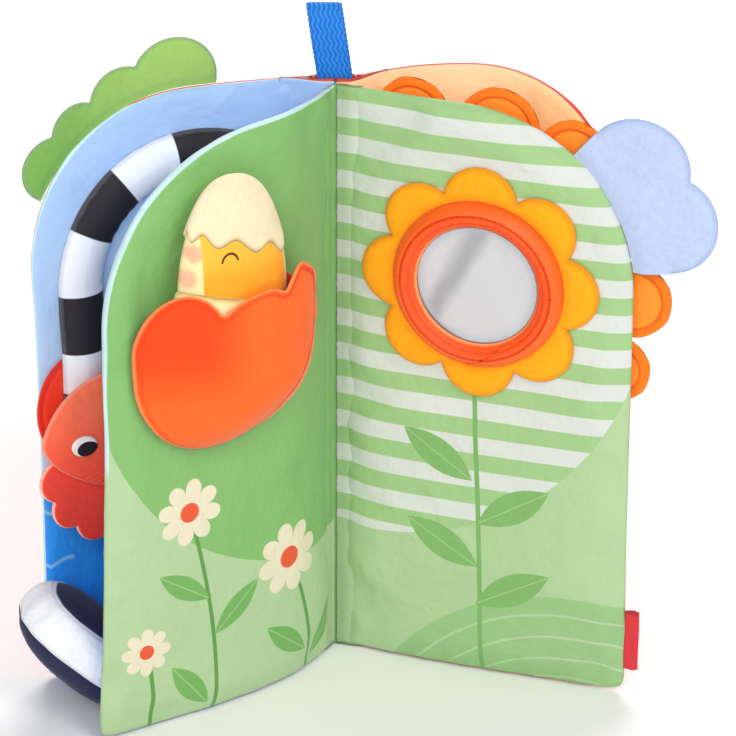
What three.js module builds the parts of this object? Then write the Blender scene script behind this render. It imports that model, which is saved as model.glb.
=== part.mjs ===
// Crinkle cloth book standing open: two cover leaves behind, two page leaves fanned towards the
// reader, and a webbing loop at the head of the spine. Millimetres, +Z up, reader at -Y.
// Origin: foot of the spine, on the table, at the fold between the two page leaves.
import * as THREE from 'three';

// Leaves
const leafWidth = 113;
const leafHeight = 229;
const archRadius = 67;
const footCornerRadius = 7;
const clothThickness = 0.6;
const seamGap = 0.3;
const puffHalfDepth = 2.6;
const puffRun = 14;
const hingeLap = 0.4;
const hingeSeam = 3;
const restGap = 0.3;
const fillingClearance = 0.8;
const fillingInset = 7;
const filmThickness = 0.3;

// Spine
const pageHingeHalfSpacing = 2.3;
const coverHingeHalfSpacing = 8.5;
const coverHingeDepth = 8;
const foldCordRadius = 1.2;
const spinePanelHalfWidth = 7.2;
const spinePanelThickness = 1.6;
const spinePanelEdge = 0.6;
const spinePanelTaper = 1.8;
const spineFillerHalfWidth = 4.2;
const spineFillerFront = foldCordRadius + restGap;
const spineFillerBack = coverHingeDepth - spinePanelThickness / 2 - restGap;

// Webbing loop
const webbingWidth = 12.7;
const webbingThickness = 1.3;
const loopHeight = 28;
const loopTailLength = 15;
const loopLegHalfGap = 1.8;
const loopBulge = 5;
const loopLeanLeft = 4;

// Tulip pocket and egg on the left page
const tulipLeft = 103.6;
const tulipRight = 22.2;
const tulipLow = 110.4;
const tulipTop = 179;
const fleeceThickness = 1.2;
const pocketBulge = 18.9;
const pocketBulgeAlong = 66;
const pocketRiseRun = 26;
const eggHeight = 75.5;
const eggHalfWidth = 22.4;
const eggHalfDepth = 7.6;
const eggFootHeight = 141;
const eggPlaceAlong = 67.6;
const eggShellThickness = 0.8;
const eggTaperPower = 0.8;
const eggLowWeightShare = 0.14;

// Mirror flower on the right page
const flowerPlaceAlong = 53.8;
const flowerPlaceHeight = 160;
const petalCount = 8;
const petalRadius = 14;
const petalCircleRadius = 31;
const feltThickness = 1.5;
const ringInnerRadius = 22.5;
const ringOuterRadius = 33.5;
const ringPadHeight = 5.2;
const mirrorRadius = 25;
const mirrorThickness = 1.2;

// Flaps sewn into the leaf edges. Each row of a share table is one lobe or petal: its centre along
// the leaf and up it from the arch's centre, and its radius, as shares of the arch's radius.
const flapThickness = 1.4;
const bushLobeShares = [
    [0.075, 1.045, 0.239],
    [0.358, 0.94, 0.209],
    [0.627, 0.821, 0.172],
    [0.784, 0.642, 0.19],
];
const cloudLobeShares = [
    [0.985, 0.724, 0.291],
    [1.164, 0.433, 0.276],
];
const sunPetalShares = [
    [-0.29, 0.846, 0.216],
    [0.201, 0.836, 0.23],
    [0.619, 0.739, 0.193],
    [0.881, 0.358, 0.187],
    [0.963, -0.06, 0.221],
    [0.881, -0.478, 0.194],
];
const tabWidth = 5;
const tabLowHeight = 9.5;
const tabTopHeight = 35;
const tabThickness = 1.2;

// Sea creature, striped strap and striped roll on the left cover
const strapWidth = 18;
const strapDepth = 5;
const strapRim = 1;
const strapArchStart = 105;
const strapArchRadius = 46;
const strapCentreAside = 0.5;
const strapCentreDrop = 4;
const strapFootHeight = 108;
const backFinThickness = 1.4;
const backFinFromEdge = 21;
const backFinHeight = 112;
const backFinHalfWidth = 18.8;
const backFinHalfHeight = 22;
const skirtFromEdge = 29;
const skirtHeight = 92;
const skirtDiscRadius = 26;
const skirtLobeRadius = 7.5;
const skirtLobeCount = 5;
const skirtLobeFirst = -8;
const skirtLobeStep = -31;
const skirtThickness = 2.4;
const skirtLift = 7.2;
const skirtSewnFromEdge = 47;
const skirtRiseRun = 18;
const headFromEdge = 28;
const headHeight = 97;
const headHalfWidth = 32.5;
const headHalfHeight = 32;
const headChin = 14;
const headDepth = 6;
const headRim = 1;
const headTilt = 20;
const headClearance = 0.6;
const eyeFromEdge = 12.5;
const eyeHeight = 104.5;
const eyeRadiusWide = 5.5;
const eyeRadiusHigh = 4;
const eyeThickness = 0.9;
const rollFromEdge = 8;
const rollHeight = 24.3;
const rollHalfLength = 27;
const rollHalfHeight = 21;
const rollHalfDepth = 18.5;
const rollSquareness = 0.75;
const rollTilt = 24;

// How each leaf curves seen from above: heading at the hinge, heading at the free edge, and how
// quickly it settles, in degrees towards the reader from the leaf's own side.
const leafShapes = {
    leftPage: { side: -1, near: 77, far: 32, settle: 3, hingeX: -pageHingeHalfSpacing, hingeY: 0 },
    rightPage: { side: 1, near: 28, far: 18, settle: 3, hingeX: pageHingeHalfSpacing, hingeY: 0 },
    leftCover: { side: -1, near: 9, far: 34, settle: 1, hingeX: -coverHingeHalfSpacing },
    rightCover: { side: 1, near: -36, far: 62, settle: 1, hingeX: coverHingeHalfSpacing },
};
leafShapes.leftCover.hingeY = coverHingeDepth;
leafShapes.rightCover.hingeY = coverHingeDepth;
const archCentreAlong = leafWidth - archRadius;
const archCentreHeight = leafHeight - archRadius;
const strapCentreAlong = archCentreAlong + strapCentreAside;
const strapCentreHeight = archCentreHeight - strapCentreDrop;
const backFinAlong = leafWidth - backFinFromEdge;
const skirtAlong = leafWidth - skirtFromEdge;
const skirtSewnPlace = leafWidth - skirtSewnFromEdge;
const headAlong = leafWidth - headFromEdge;
const eyeAlong = leafWidth - eyeFromEdge;
const rollAlong = leafWidth - rollFromEdge;
const planSteps = 160;

// The plan curve of a leaf, summed from its heading in small steps.
for (const leaf of Object.values(leafShapes)) {
    leaf.heading = (share) => {
        const rest = Math.pow(1 - Math.min(Math.max(share, 0), 1), leaf.settle);
        return THREE.MathUtils.degToRad(leaf.far + (leaf.near - leaf.far) * rest);
    };
    leaf.plan = [new THREE.Vector2(0, 0)];
    for (let step = 1; step <= planSteps; step++) {
        const heading = leaf.heading((step - 0.5) / planSteps);
        const last = leaf.plan[step - 1];
        const length = leafWidth / planSteps;
        const stretch = new THREE.Vector2(length * Math.cos(heading), -length * Math.sin(heading));
        leaf.plan.push(last.clone().add(stretch));
    }
}

// A point of a leaf's space: distance along the leaf, height, and distance out of its reading face.
function leafPoint(leaf, along, height, out) {
    const share = along / leafWidth;
    const place = Math.min(Math.max(share, 0), 1) * planSteps;
    const low = Math.min(Math.floor(place), planSteps - 1);
    const spot = leaf.plan[low].clone().lerp(leaf.plan[low + 1], place - low);
    const heading = leaf.heading(share);
    const beyond = along - THREE.MathUtils.clamp(along, 0, leafWidth);
    const x = spot.x + beyond * Math.cos(heading) - out * Math.sin(heading);
    const y = spot.y - beyond * Math.sin(heading) - out * Math.cos(heading);
    return new THREE.Vector3(leaf.hingeX + leaf.side * x, leaf.hingeY + y, height);
}

// Height of the leaf's arched top and of its foot with the rounded outer corner.
function leafTop(along) {
    const run = Math.max(along - archCentreAlong, 0);
    return archCentreHeight + Math.sqrt(Math.max(archRadius * archRadius - run * run, 0));
}

function leafFoot(along) {
    const run = Math.max(along - (leafWidth - footCornerRadius), 0);
    return footCornerRadius - Math.sqrt(Math.max(footCornerRadius * footCornerRadius - run * run, 0));
}

// How far the padding lifts the cloth at a place: none at the seam, full depth inside.
function puff(along, height) {
    let inside = Math.min(along - hingeSeam, leafWidth - along, height, leafHeight - height);
    if (along > archCentreAlong && height > archCentreHeight) {
        const reach = Math.hypot(along - archCentreAlong, height - archCentreHeight);
        inside = Math.min(inside, archRadius - reach);
    }
    const share = THREE.MathUtils.clamp(inside / puffRun, 0, 1);
    return puffHalfDepth * (1 - (1 - share) * (1 - share));
}

function faceHeight(along, height) {
    return seamGap / 2 + puff(along, height) + clothThickness;
}

// Height of the padded face away from the seams, where the sewn-on pieces lie.
const fullFace = seamGap / 2 + puffHalfDepth + clothThickness;

// A share that starts and ends level.
function smooth(share) {
    const held = THREE.MathUtils.clamp(share, 0, 1);
    return held * held * (3 - 2 * held);
}

// A closed solid from two matching grids of points, with walls round their rims. A grid that
// closes on itself in its first direction has no wall there.
function solidFromGrids(outer, inner, closed = false) {
    const triangles = [];
    const quad = (a, b, c, d) => {
        triangles.push([a, b, c], [a, c, d]);
    };
    const rows = outer[0].length;
    const spans = closed ? outer.length : outer.length - 1;
    for (let i = 0; i < spans; i++) {
        const next = (i + 1) % outer.length;
        for (let j = 0; j < rows - 1; j++) {
            quad(outer[i][j], outer[next][j], outer[next][j + 1], outer[i][j + 1]);
            quad(inner[i][j], inner[i][j + 1], inner[next][j + 1], inner[next][j]);
        }
        quad(outer[i][0], inner[i][0], inner[next][0], outer[next][0]);
        quad(outer[i][rows - 1], outer[next][rows - 1], inner[next][rows - 1], inner[i][rows - 1]);
    }
    if (!closed) {
        const last = outer.length - 1;
        for (let j = 0; j < rows - 1; j++) {
            quad(outer[0][j], outer[0][j + 1], inner[0][j + 1], inner[0][j]);
            quad(outer[last][j], inner[last][j], inner[last][j + 1], outer[last][j + 1]);
        }
    }
    return closedGeometry(triangles);
}

// Merges equal corners, leaves out triangles without area and turns the faces outwards.
function closedGeometry(triangles) {
    const mergeGrain = 1e5 / leafHeight;
    const numbers = new Map();
    const points = [];
    const number = (point) => {
        const key = point.toArray().map((value) => Math.round(value * mergeGrain)).join(' ');
        if (!numbers.has(key)) {
            numbers.set(key, points.length);
            points.push(point);
        }
        return numbers.get(key);
    };
    let index = [];
    let volume = 0;
    for (const triangle of triangles) {
        const [a, b, c] = triangle.map(number);
        if (a !== b && b !== c && c !== a) {
            index.push(a, b, c);
            volume += points[a].dot(points[b].clone().cross(points[c]));
        }
    }
    if (volume < 0) {
        index = index.reverse();
    }
    const geometry = new THREE.BufferGeometry();
    const places = new Float32Array(points.flatMap((point) => point.toArray()));
    geometry.setAttribute('position', new THREE.BufferAttribute(places, 3));
    geometry.setIndex(index);
    geometry.computeVertexNormals();
    return geometry;
}

// A panel that follows a leaf: foot and head give its outline at each place along the leaf, low and
// high its two faces.
function leafPanel(leaf, places, foot, head, rowShares, low, high) {
    const grid = (face) => places.map((along) => rowShares.map((share) => {
        const height = foot(along) + share * (head(along) - foot(along));
        return leafPoint(leaf, along, height, face(along, height));
    }));
    return solidFromGrids(grid(high), grid(low));
}

// A round or lobed piece that follows a leaf: reach gives its outline round a centre.
function leafPatch(leaf, along, height, reach, spokes, ringShares, low, high) {
    const grid = (face) => Array.from({ length: spokes }, (_, spoke) => {
        const angle = spoke / spokes * 2 * Math.PI;
        return ringShares.map((share) => {
            const placeAlong = along + share * reach(angle) * Math.cos(angle);
            const placeHeight = height + share * reach(angle) * Math.sin(angle);
            return leafPoint(leaf, placeAlong, placeHeight, face(placeAlong, placeHeight, share, angle));
        });
    });
    return solidFromGrids(grid(high), grid(low), true);
}

// Distance from a centre, in a direction, to the far side of a round lobe.
function lobeReach(angle, lobeAlong, lobeHeight, radius) {
    const forward = lobeAlong * Math.cos(angle) + lobeHeight * Math.sin(angle);
    const aside = lobeHeight * Math.cos(angle) - lobeAlong * Math.sin(angle);
    return Math.abs(aside) < radius ? forward + Math.sqrt(radius * radius - aside * aside) : 0;
}

const book = new THREE.Group();

function addPiece(name, geometry, color, roughness = 0.9, metalness = 0) {
    const material = new THREE.MeshStandardMaterial({ color, roughness, metalness });
    const mesh = new THREE.Mesh(geometry, material);
    mesh.name = name;
    book.add(mesh);
    return mesh;
}

// Spine: rolled fold, filler strip, cover panel and webbing loop
const foldCord = new THREE.CylinderGeometry(foldCordRadius, foldCordRadius, leafHeight, 12);
foldCord.rotateX(Math.PI / 2);
foldCord.translate(0, 0, leafHeight / 2);
addPiece('page_fold_seam', foldCord, 0x7fb865);

const fillerDepth = spineFillerBack - spineFillerFront;
const fillerHeight = leafHeight - loopTailLength - restGap;
const filler = new THREE.BoxGeometry(spineFillerHalfWidth * 2, fillerDepth, fillerHeight);
filler.translate(0, spineFillerFront + fillerDepth / 2, fillerHeight / 2);
addPiece('spine_filler', filler, 0xf2efe6);

// The cover's spine is thinner at its long edges, where the cover leaves hinge.
const panelFlat = spinePanelHalfWidth - spinePanelTaper;
const panelSection = new THREE.Shape();
panelSection.moveTo(-spinePanelHalfWidth, -spinePanelEdge / 2);
panelSection.lineTo(-panelFlat, -spinePanelThickness / 2);
panelSection.lineTo(panelFlat, -spinePanelThickness / 2);
panelSection.lineTo(spinePanelHalfWidth, -spinePanelEdge / 2);
panelSection.lineTo(spinePanelHalfWidth, spinePanelEdge / 2);
panelSection.lineTo(panelFlat, spinePanelThickness / 2);
panelSection.lineTo(-panelFlat, spinePanelThickness / 2);
panelSection.lineTo(-spinePanelHalfWidth, spinePanelEdge / 2);
panelSection.closePath();
const spinePanel = new THREE.ExtrudeGeometry(panelSection, { depth: leafHeight, bevelEnabled: false });
spinePanel.translate(0, coverHingeDepth, 0);
addPiece('spine_panel', spinePanel, 0xd8433c);

function webbingLoop() {
    const middle = (spineFillerFront + spineFillerBack) / 2;
    const loopSteps = 24;
    const centres = [{ y: middle - loopLegHalfGap, z: leafHeight - loopTailLength }];
    for (let step = 0; step <= loopSteps; step++) {
        const turn = step / loopSteps * Math.PI;
        const spread = loopLegHalfGap + loopBulge * Math.sin(turn);
        centres.push({ y: middle - spread * Math.cos(turn), z: leafHeight + loopHeight * Math.sin(turn) });
    }
    centres.push({ y: middle + loopLegHalfGap, z: leafHeight - loopTailLength });
    const grid = (offset) => centres.map((centre, i) => {
        const before = centres[Math.max(i - 1, 0)];
        const after = centres[Math.min(i + 1, centres.length - 1)];
        const way = new THREE.Vector2(after.y - before.y, after.z - before.z).normalize();
        const lean = -loopLeanLeft * Math.max(centre.z - leafHeight, 0) / loopHeight;
        const y = centre.y - way.y * offset;
        const z = centre.z + way.x * offset;
        return [-1, 1].map((edge) => new THREE.Vector3(lean + edge * webbingWidth / 2, y, z));
    });
    return solidFromGrids(grid(webbingThickness / 2), grid(-webbingThickness / 2));
}
addPiece('webbing_loop', webbingLoop(), 0x0a7be0);

// Each leaf: back cloth, padding, crinkle film and front cloth
const clothPlaces = [-hingeLap, hingeSeam];
const nearSeamShares = [0.25, 0.6, 1];
const straightSpans = 4;
const archSpans = 9;
const rowShares = [0, 0.02, 0.065, 0.3, 0.55, 0.78, 0.9, 0.94, 0.97, 1];
for (const share of nearSeamShares) {
    clothPlaces.push(hingeSeam + share * puffRun);
}
const straightStart = clothPlaces[clothPlaces.length - 1];
for (let span = 1; span <= straightSpans; span++) {
    clothPlaces.push(straightStart + (archCentreAlong - straightStart) * span / straightSpans);
}
for (let span = 1; span <= archSpans; span++) {
    clothPlaces.push(archCentreAlong + archRadius * Math.sin(span / archSpans * Math.PI / 2));
}

const fillingRowShares = [0, 0.05, 0.35, 0.65, 0.95, 1];
const fillingPlaces = [];
const fillingSpans = 11;
for (let span = 0; span <= fillingSpans; span++) {
    const start = hingeSeam + fillingInset;
    const reach = leafWidth - fillingInset - start;
    fillingPlaces.push(start + reach * Math.sin(span / fillingSpans * Math.PI / 2));
}
const fillingFoot = () => fillingInset;
const fillingHead = (along) => {
    const run = Math.max(along - archCentreAlong, 0);
    const radius = archRadius - fillingInset;
    return archCentreHeight + Math.sqrt(Math.max(radius * radius - run * run, 0));
};

function addLeaf(name, leaf, frontColor, backColor) {
    const front = (along, height) => seamGap / 2 + puff(along, height);
    const back = (along, height) => -front(along, height);
    const rear = (along, height) => -faceHeight(along, height);
    const cloth = [leaf, clothPlaces, leafFoot, leafTop, rowShares];
    addPiece(`${name}_back_cloth`, leafPanel(...cloth, rear, back), backColor);
    addPiece(`${name}_front_cloth`, leafPanel(...cloth, front, faceHeight), frontColor);
    const filmLow = (along, height) => front(along, height) - fillingClearance - filmThickness;
    const filmHigh = (along, height) => front(along, height) - fillingClearance;
    const paddingLow = (along, height) => back(along, height) + fillingClearance;
    const paddingHigh = (along, height) => filmLow(along, height) - restGap;
    const filling = [leaf, fillingPlaces, fillingFoot, fillingHead, fillingRowShares];
    addPiece(`${name}_padding`, leafPanel(...filling, paddingLow, paddingHigh), 0xf4f2ea);
    addPiece(`${name}_crinkle_film`, leafPanel(...filling, filmLow, filmHigh), 0xe8eef2, 0.25);
}
const { leftPage, rightPage, leftCover, rightCover } = leafShapes;
addLeaf('left_page', leftPage, 0x8cc474, 0x5fb8e8);
addLeaf('right_page', rightPage, 0xb2d29c, 0xfbdda6);
addLeaf('left_cover', leftCover, 0x9fbdeb, 0xd8433c);
addLeaf('right_cover', rightCover, 0xfbdda6, 0xd8433c);

// Tulip pocket: a flat back petal and a bulging front with three petals at its mouth
// Its outline is given as shares of its width and height.
const tulipPlaceShares = [
    0, 0.006, 0.02, 0.05, 0.1, 0.16, 0.22, 0.29, 0.36, 0.44, 0.5, 0.56, 0.64, 0.73, 0.82, 0.9, 0.96, 0.99, 1,
];
const tulipFootShares = [
    [0.0, 0.5627],
    [0.0405, 0.3732],
    [0.1155, 0.2085],
    [0.2678, 0.0816],
    [0.4349, 0.0277],
    [0.5749, 0.0],
    [0.7162, 0.0204],
    [0.8452, 0.1035],
    [0.9435, 0.2566],
    [0.9902, 0.4169],
    [1.0, 0.5845],
];
const leftPetalShares = [0.8133, 0.621, 0.1867, 0.379];
const middlePetalShares = [0.5074, 0.7741, 0.2088, 0.1822];
const petalTipShares = [0.102, 0.9052];
const petalRootShares = [0.3661, 0.8542];
const tulipPlace = (share) => tulipRight + share * (tulipLeft - tulipRight);
const tulipHeight = (share) => tulipLow + share * (tulipTop - tulipLow);
const tulipFootPlaces = tulipFootShares.map(([place]) => tulipPlace(place));
const tulipFootHeights = tulipFootShares.map(([, height]) => tulipHeight(height));

function throughPoints(places, heights, along) {
    const last = places.length - 1;
    if (along <= places[0]) {
        return heights[0];
    }
    if (along >= places[last]) {
        return heights[last];
    }
    let span = 0;
    while (places[span + 1] < along) {
        span++;
    }
    const share = (along - places[span]) / (places[span + 1] - places[span]);
    const slope = (i) => {
        const low = Math.max(i - 1, 0);
        const high = Math.min(i + 1, last);
        return (heights[high] - heights[low]) / (places[high] - places[low]);
    };
    const width = places[span + 1] - places[span];
    const square = share * share;
    const cube = square * share;
    return heights[span] * (2 * cube - 3 * square + 1) + heights[span + 1] * (3 * square - 2 * cube)
        + slope(span) * width * (cube - 2 * square + share) + slope(span + 1) * width * (cube - square);
}

const tulipFoot = (along) => throughPoints(tulipFootPlaces, tulipFootHeights, along);
const arcHeight = (along, [place, height, halfWidth, halfHeight]) => {
    const share = (along - tulipPlace(place)) / (halfWidth * (tulipLeft - tulipRight));
    return Math.abs(share) < 1 ? tulipHeight(height + halfHeight * Math.sqrt(1 - share * share)) : 0;
};
const [tipAlong, tipHeight] = [tulipPlace(petalTipShares[0]), tulipHeight(petalTipShares[1])];
const [rootAlong, rootHeight] = [tulipPlace(petalRootShares[0]), tulipHeight(petalRootShares[1])];
const tulipHead = (along) => {
    const left = arcHeight(along, leftPetalShares);
    const middle = arcHeight(along, middlePetalShares);
    const inward = (along - tipAlong) / (rootAlong - tipAlong);
    const outward = (along - tulipRight) / (tipAlong - tulipRight);
    const slope = tipHeight + (rootHeight - tipHeight) * inward;
    const flankRise = tipHeight - tulipFoot(tulipRight);
    const flank = tulipFoot(tulipRight) + flankRise * Math.sqrt(Math.max(outward, 0));
    const tip = inward > 1 ? 0 : Math.min(slope, flank);
    return Math.max(left, middle, tip, tulipFoot(along));
};
const tulipPlaces = tulipPlaceShares.map(tulipPlace);
const tulipRowShares = [0, 0.08, 0.2, 0.35, 0.5, 0.7, 0.85, 1];
const backPetalLow = () => fullFace + restGap;
const backPetalHigh = () => backPetalLow() + fleeceThickness;
const pocketSpreadShare = 0.5;
const pocketFlatShare = 0.06;
const pocketLow = (along, height) => {
    const flatRun = pocketFlatShare * (tulipLeft - tulipRight);
    const side = along > pocketBulgeAlong ? tulipLeft : tulipRight + flatRun;
    const across = Math.min((along - pocketBulgeAlong) / (side - pocketBulgeAlong), 1);
    const rise = THREE.MathUtils.clamp((height - tulipFoot(along)) / pocketRiseRun, 0, 1);
    const bow = Math.pow(1 - across * across, pocketSpreadShare);
    return backPetalHigh() + restGap + pocketBulge * bow * (1 - (1 - rise) * (1 - rise));
};
const pocketHigh = (along, height) => pocketLow(along, height) + fleeceThickness;
const tulip = [leftPage, tulipPlaces, tulipFoot, tulipHead, tulipRowShares];
addPiece('tulip_pocket_back', leafPanel(...tulip, backPetalLow, backPetalHigh), 0xd94a10);
addPiece('tulip_pocket_front', leafPanel(...tulip, pocketLow, pocketHigh), 0xff6a20);

// Egg: a stuffed body, wider below, with a shell cap and a shell cup sewn round it
const eggOut = backPetalHigh() + restGap + eggShellThickness + restGap + eggHalfDepth;
function eggPoint(turn, share, skin) {
    const lowWeight = 1 + eggLowWeightShare * Math.cos(share * Math.PI);
    const swell = Math.pow(Math.sin(share * Math.PI), eggTaperPower) * lowWeight;
    const wide = eggHalfWidth * swell;
    const deep = eggHalfDepth * swell;
    const rise = eggFootHeight + eggHeight * (1 - Math.cos(share * Math.PI)) / 2;
    const spread = swell > 0 ? 1 : 0;
    const along = Math.cos(turn) * (wide + skin * spread);
    const out = Math.sin(turn) * (deep + skin * spread);
    const lift = -skin * Math.cos(share * Math.PI);
    const centre = leafPoint(leftPage, eggPlaceAlong, rise + lift, eggOut);
    const heading = leftPage.heading(eggPlaceAlong / leafWidth);
    const side = leftPage.side;
    const tangent = new THREE.Vector3(side * Math.cos(heading), -Math.sin(heading), 0);
    const normal = new THREE.Vector3(-side * Math.sin(heading), -Math.cos(heading), 0);
    return centre.addScaledVector(tangent, along).addScaledVector(normal, out);
}
const eggSpokes = 20;
const eggRows = 12;
function eggGrid(skin, fromShare, toShare, rows) {
    return Array.from({ length: eggSpokes }, (_, spoke) => {
        const turn = spoke / eggSpokes * 2 * Math.PI;
        return Array.from({ length: rows + 1 }, (_, row) => {
            const share = fromShare(turn) + (toShare(turn) - fromShare(turn)) * row / rows;
            return eggPoint(turn, share, skin);
        });
    });
}
const eggBottomShare = 0;
const eggTopShare = 1;
const capRimShare = 0.62;
const capWaveShare = 0.022;
const cupRimShare = 0.44;
const capWaves = 5;
const eggBody = eggGrid(0, () => eggBottomShare, () => eggTopShare, eggRows);
function closedBall(grid) {
    const triangles = [];
    for (let i = 0; i < grid.length; i++) {
        const next = (i + 1) % grid.length;
        for (let j = 0; j < grid[0].length - 1; j++) {
            triangles.push([grid[i][j], grid[next][j], grid[next][j + 1]]);
            triangles.push([grid[i][j], grid[next][j + 1], grid[i][j + 1]]);
        }
    }
    return closedGeometry(triangles);
}
addPiece('egg_body', closedBall(eggBody), 0xffb52b);
const shellInside = restGap;
const shellOutside = restGap + eggShellThickness;
const capFrom = (turn) => capRimShare + capWaveShare * Math.cos(capWaves * turn);
const capTo = () => eggTopShare;
const shellRows = 5;
function eggShell(from, to) {
    const outside = eggGrid(shellOutside, from, to, shellRows);
    return solidFromGrids(outside, eggGrid(shellInside, from, to, shellRows), true);
}
addPiece('egg_shell_cap', eggShell(capFrom, capTo), 0xf5efc9);
const cupFrom = () => eggBottomShare;
const cupTo = () => cupRimShare;
addPiece('egg_shell_cup', eggShell(cupFrom, cupTo), 0xf7e3a8);

// Flower, mirror and padded ring
const flatShares = [0, 0.5, 1];
const flowerSpokes = 48;
const flowerReach = (angle) => {
    let reach = 0;
    for (let petal = 0; petal < petalCount; petal++) {
        const turn = petal / petalCount * 2 * Math.PI;
        const middle = [petalCircleRadius * Math.cos(turn), petalCircleRadius * Math.sin(turn)];
        reach = Math.max(reach, lobeReach(angle, ...middle, petalRadius));
    }
    return reach;
};
const feltLow = () => fullFace + restGap;
const feltHigh = () => feltLow() + feltThickness;
const flowerPlace = [rightPage, flowerPlaceAlong, flowerPlaceHeight];
const flower = leafPatch(...flowerPlace, flowerReach, flowerSpokes, flatShares, feltLow, feltHigh);
addPiece('flower_felt', flower, 0xffae00);
const mirrorLow = () => feltHigh() + restGap;
const mirrorHigh = () => mirrorLow() + mirrorThickness;
const mirrorReach = () => mirrorRadius;
const mirrorSpokes = 32;
const mirror = leafPatch(...flowerPlace, mirrorReach, mirrorSpokes, flatShares, mirrorLow, mirrorHigh);
addPiece('mirror_disc', mirror, 0xc8ccd0, 0.05, 1);

function paddedRing() {
    const step = mirrorRadius + 2 * restGap;
    const overMirror = restGap + mirrorThickness + restGap;
    const crown = (ringInnerRadius + ringOuterRadius) / 2;
    const profile = [
        [ringInnerRadius, overMirror],
        [step, overMirror],
        [step, restGap],
        [ringOuterRadius, restGap],
    ];
    const domeSteps = 5;
    for (let i = 1; i <= domeSteps; i++) {
        const turn = i / (domeSteps + 1) * Math.PI;
        const radius = crown + (ringOuterRadius - crown) * Math.cos(turn);
        profile.push([radius, overMirror + (ringPadHeight - overMirror) * Math.sin(turn)]);
    }
    const ringSpokes = 32;
    const grid = Array.from({ length: ringSpokes }, (_, spoke) => {
        const turn = spoke / ringSpokes * 2 * Math.PI;
        return [...profile, profile[0]].map(([radius, out]) => {
            const along = flowerPlaceAlong + radius * Math.cos(turn);
            const height = flowerPlaceHeight + radius * Math.sin(turn);
            return leafPoint(rightPage, along, height, feltHigh() + out);
        });
    });
    return closedBall(grid);
}
addPiece('mirror_ring', paddedRing(), 0xff6a10);

// Distance from the arch's centre to the leaf's seam, with the gap that a flap keeps to it.
function seamReach(angle) {
    const past = Math.cos(Math.min(angle, 0)) * Math.sin(Math.max(angle, Math.PI / 2));
    return (archRadius + restGap) / past;
}

// The centre of a lobe or petal, seen from the arch's centre, and its radius.
const archLobe = ([along, height, radius]) => ({
    along: along * archRadius,
    height: height * archRadius,
    radius: radius * archRadius,
});
const bushLobes = bushLobeShares.map(archLobe);
const cloudLobes = cloudLobeShares.map(archLobe);

// Felt flaps caught in the arched seams: their inner edge follows the leaf's edge
const flapRingShares = [0, 0.33, 0.66, 1];
function archFlap(leaf, lobes, fromAngle, toAngle, spokes) {
    const grid = (out) => Array.from({ length: spokes + 1 }, (_, spoke) => {
        const angle = fromAngle + (toAngle - fromAngle) * spoke / spokes;
        const inner = seamReach(angle);
        let reach = inner;
        for (const lobe of lobes) {
            reach = Math.max(reach, lobeReach(angle, lobe.along, lobe.height, lobe.radius));
        }
        return flapRingShares.map((share) => {
            const radius = inner + share * (reach - inner);
            const along = archCentreAlong + radius * Math.cos(angle);
            return leafPoint(leaf, along, archCentreHeight + radius * Math.sin(angle), out);
        });
    });
    return solidFromGrids(grid(flapThickness / 2), grid(-flapThickness / 2));
}

// The angles, seen from the arch's centre, where a row of lobes leaves the seam.
function flapAngles(lobes) {
    const tries = 720;
    const firstAngleShare = -0.2;
    const angles = [];
    for (let i = 0; i <= tries; i++) {
        const angle = (firstAngleShare + i / tries) * Math.PI;
        for (const lobe of lobes) {
            if (lobeReach(angle, lobe.along, lobe.height, lobe.radius) > seamReach(angle)) {
                angles.push(angle);
            }
        }
    }
    return [Math.min(...angles), Math.max(...angles)];
}
const bushSpokes = 40;
const cloudSpokes = 32;
addPiece('bush_flap', archFlap(leftCover, bushLobes, ...flapAngles(bushLobes), bushSpokes), 0x9ccb63);
addPiece('cloud_flap', archFlap(rightPage, cloudLobes, ...flapAngles(cloudLobes), cloudSpokes), 0xc5d5f2);

const tabPlaces = [leafWidth + restGap, leafWidth + tabWidth];
const tabFoot = () => tabLowHeight;
const tabHead = () => tabTopHeight;
const tabRowShares = [0, 1];
const tabBack = () => -tabThickness / 2;
const tabFront = () => tabThickness / 2;
const tab = leafPanel(rightPage, tabPlaces, tabFoot, tabHead, tabRowShares, tabBack, tabFront);
addPiece('edge_tab', tab, 0xd81e2c);

// Sun petals: felt discs on the back of the right page, standing out past its edge.
const sunSpokes = 24;
sunPetalShares.map(archLobe).forEach((petal, i) => {
    const high = () => -fullFace - restGap;
    const low = () => high() - feltThickness;
    const reach = () => petal.radius;
    const place = [rightPage, archCentreAlong + petal.along, archCentreHeight + petal.height];
    const disc = leafPatch(...place, reach, sunSpokes, flatShares, low, high);
    addPiece(`sun_petal_${i + 1}`, disc, 0xff7f0a);
});

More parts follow.
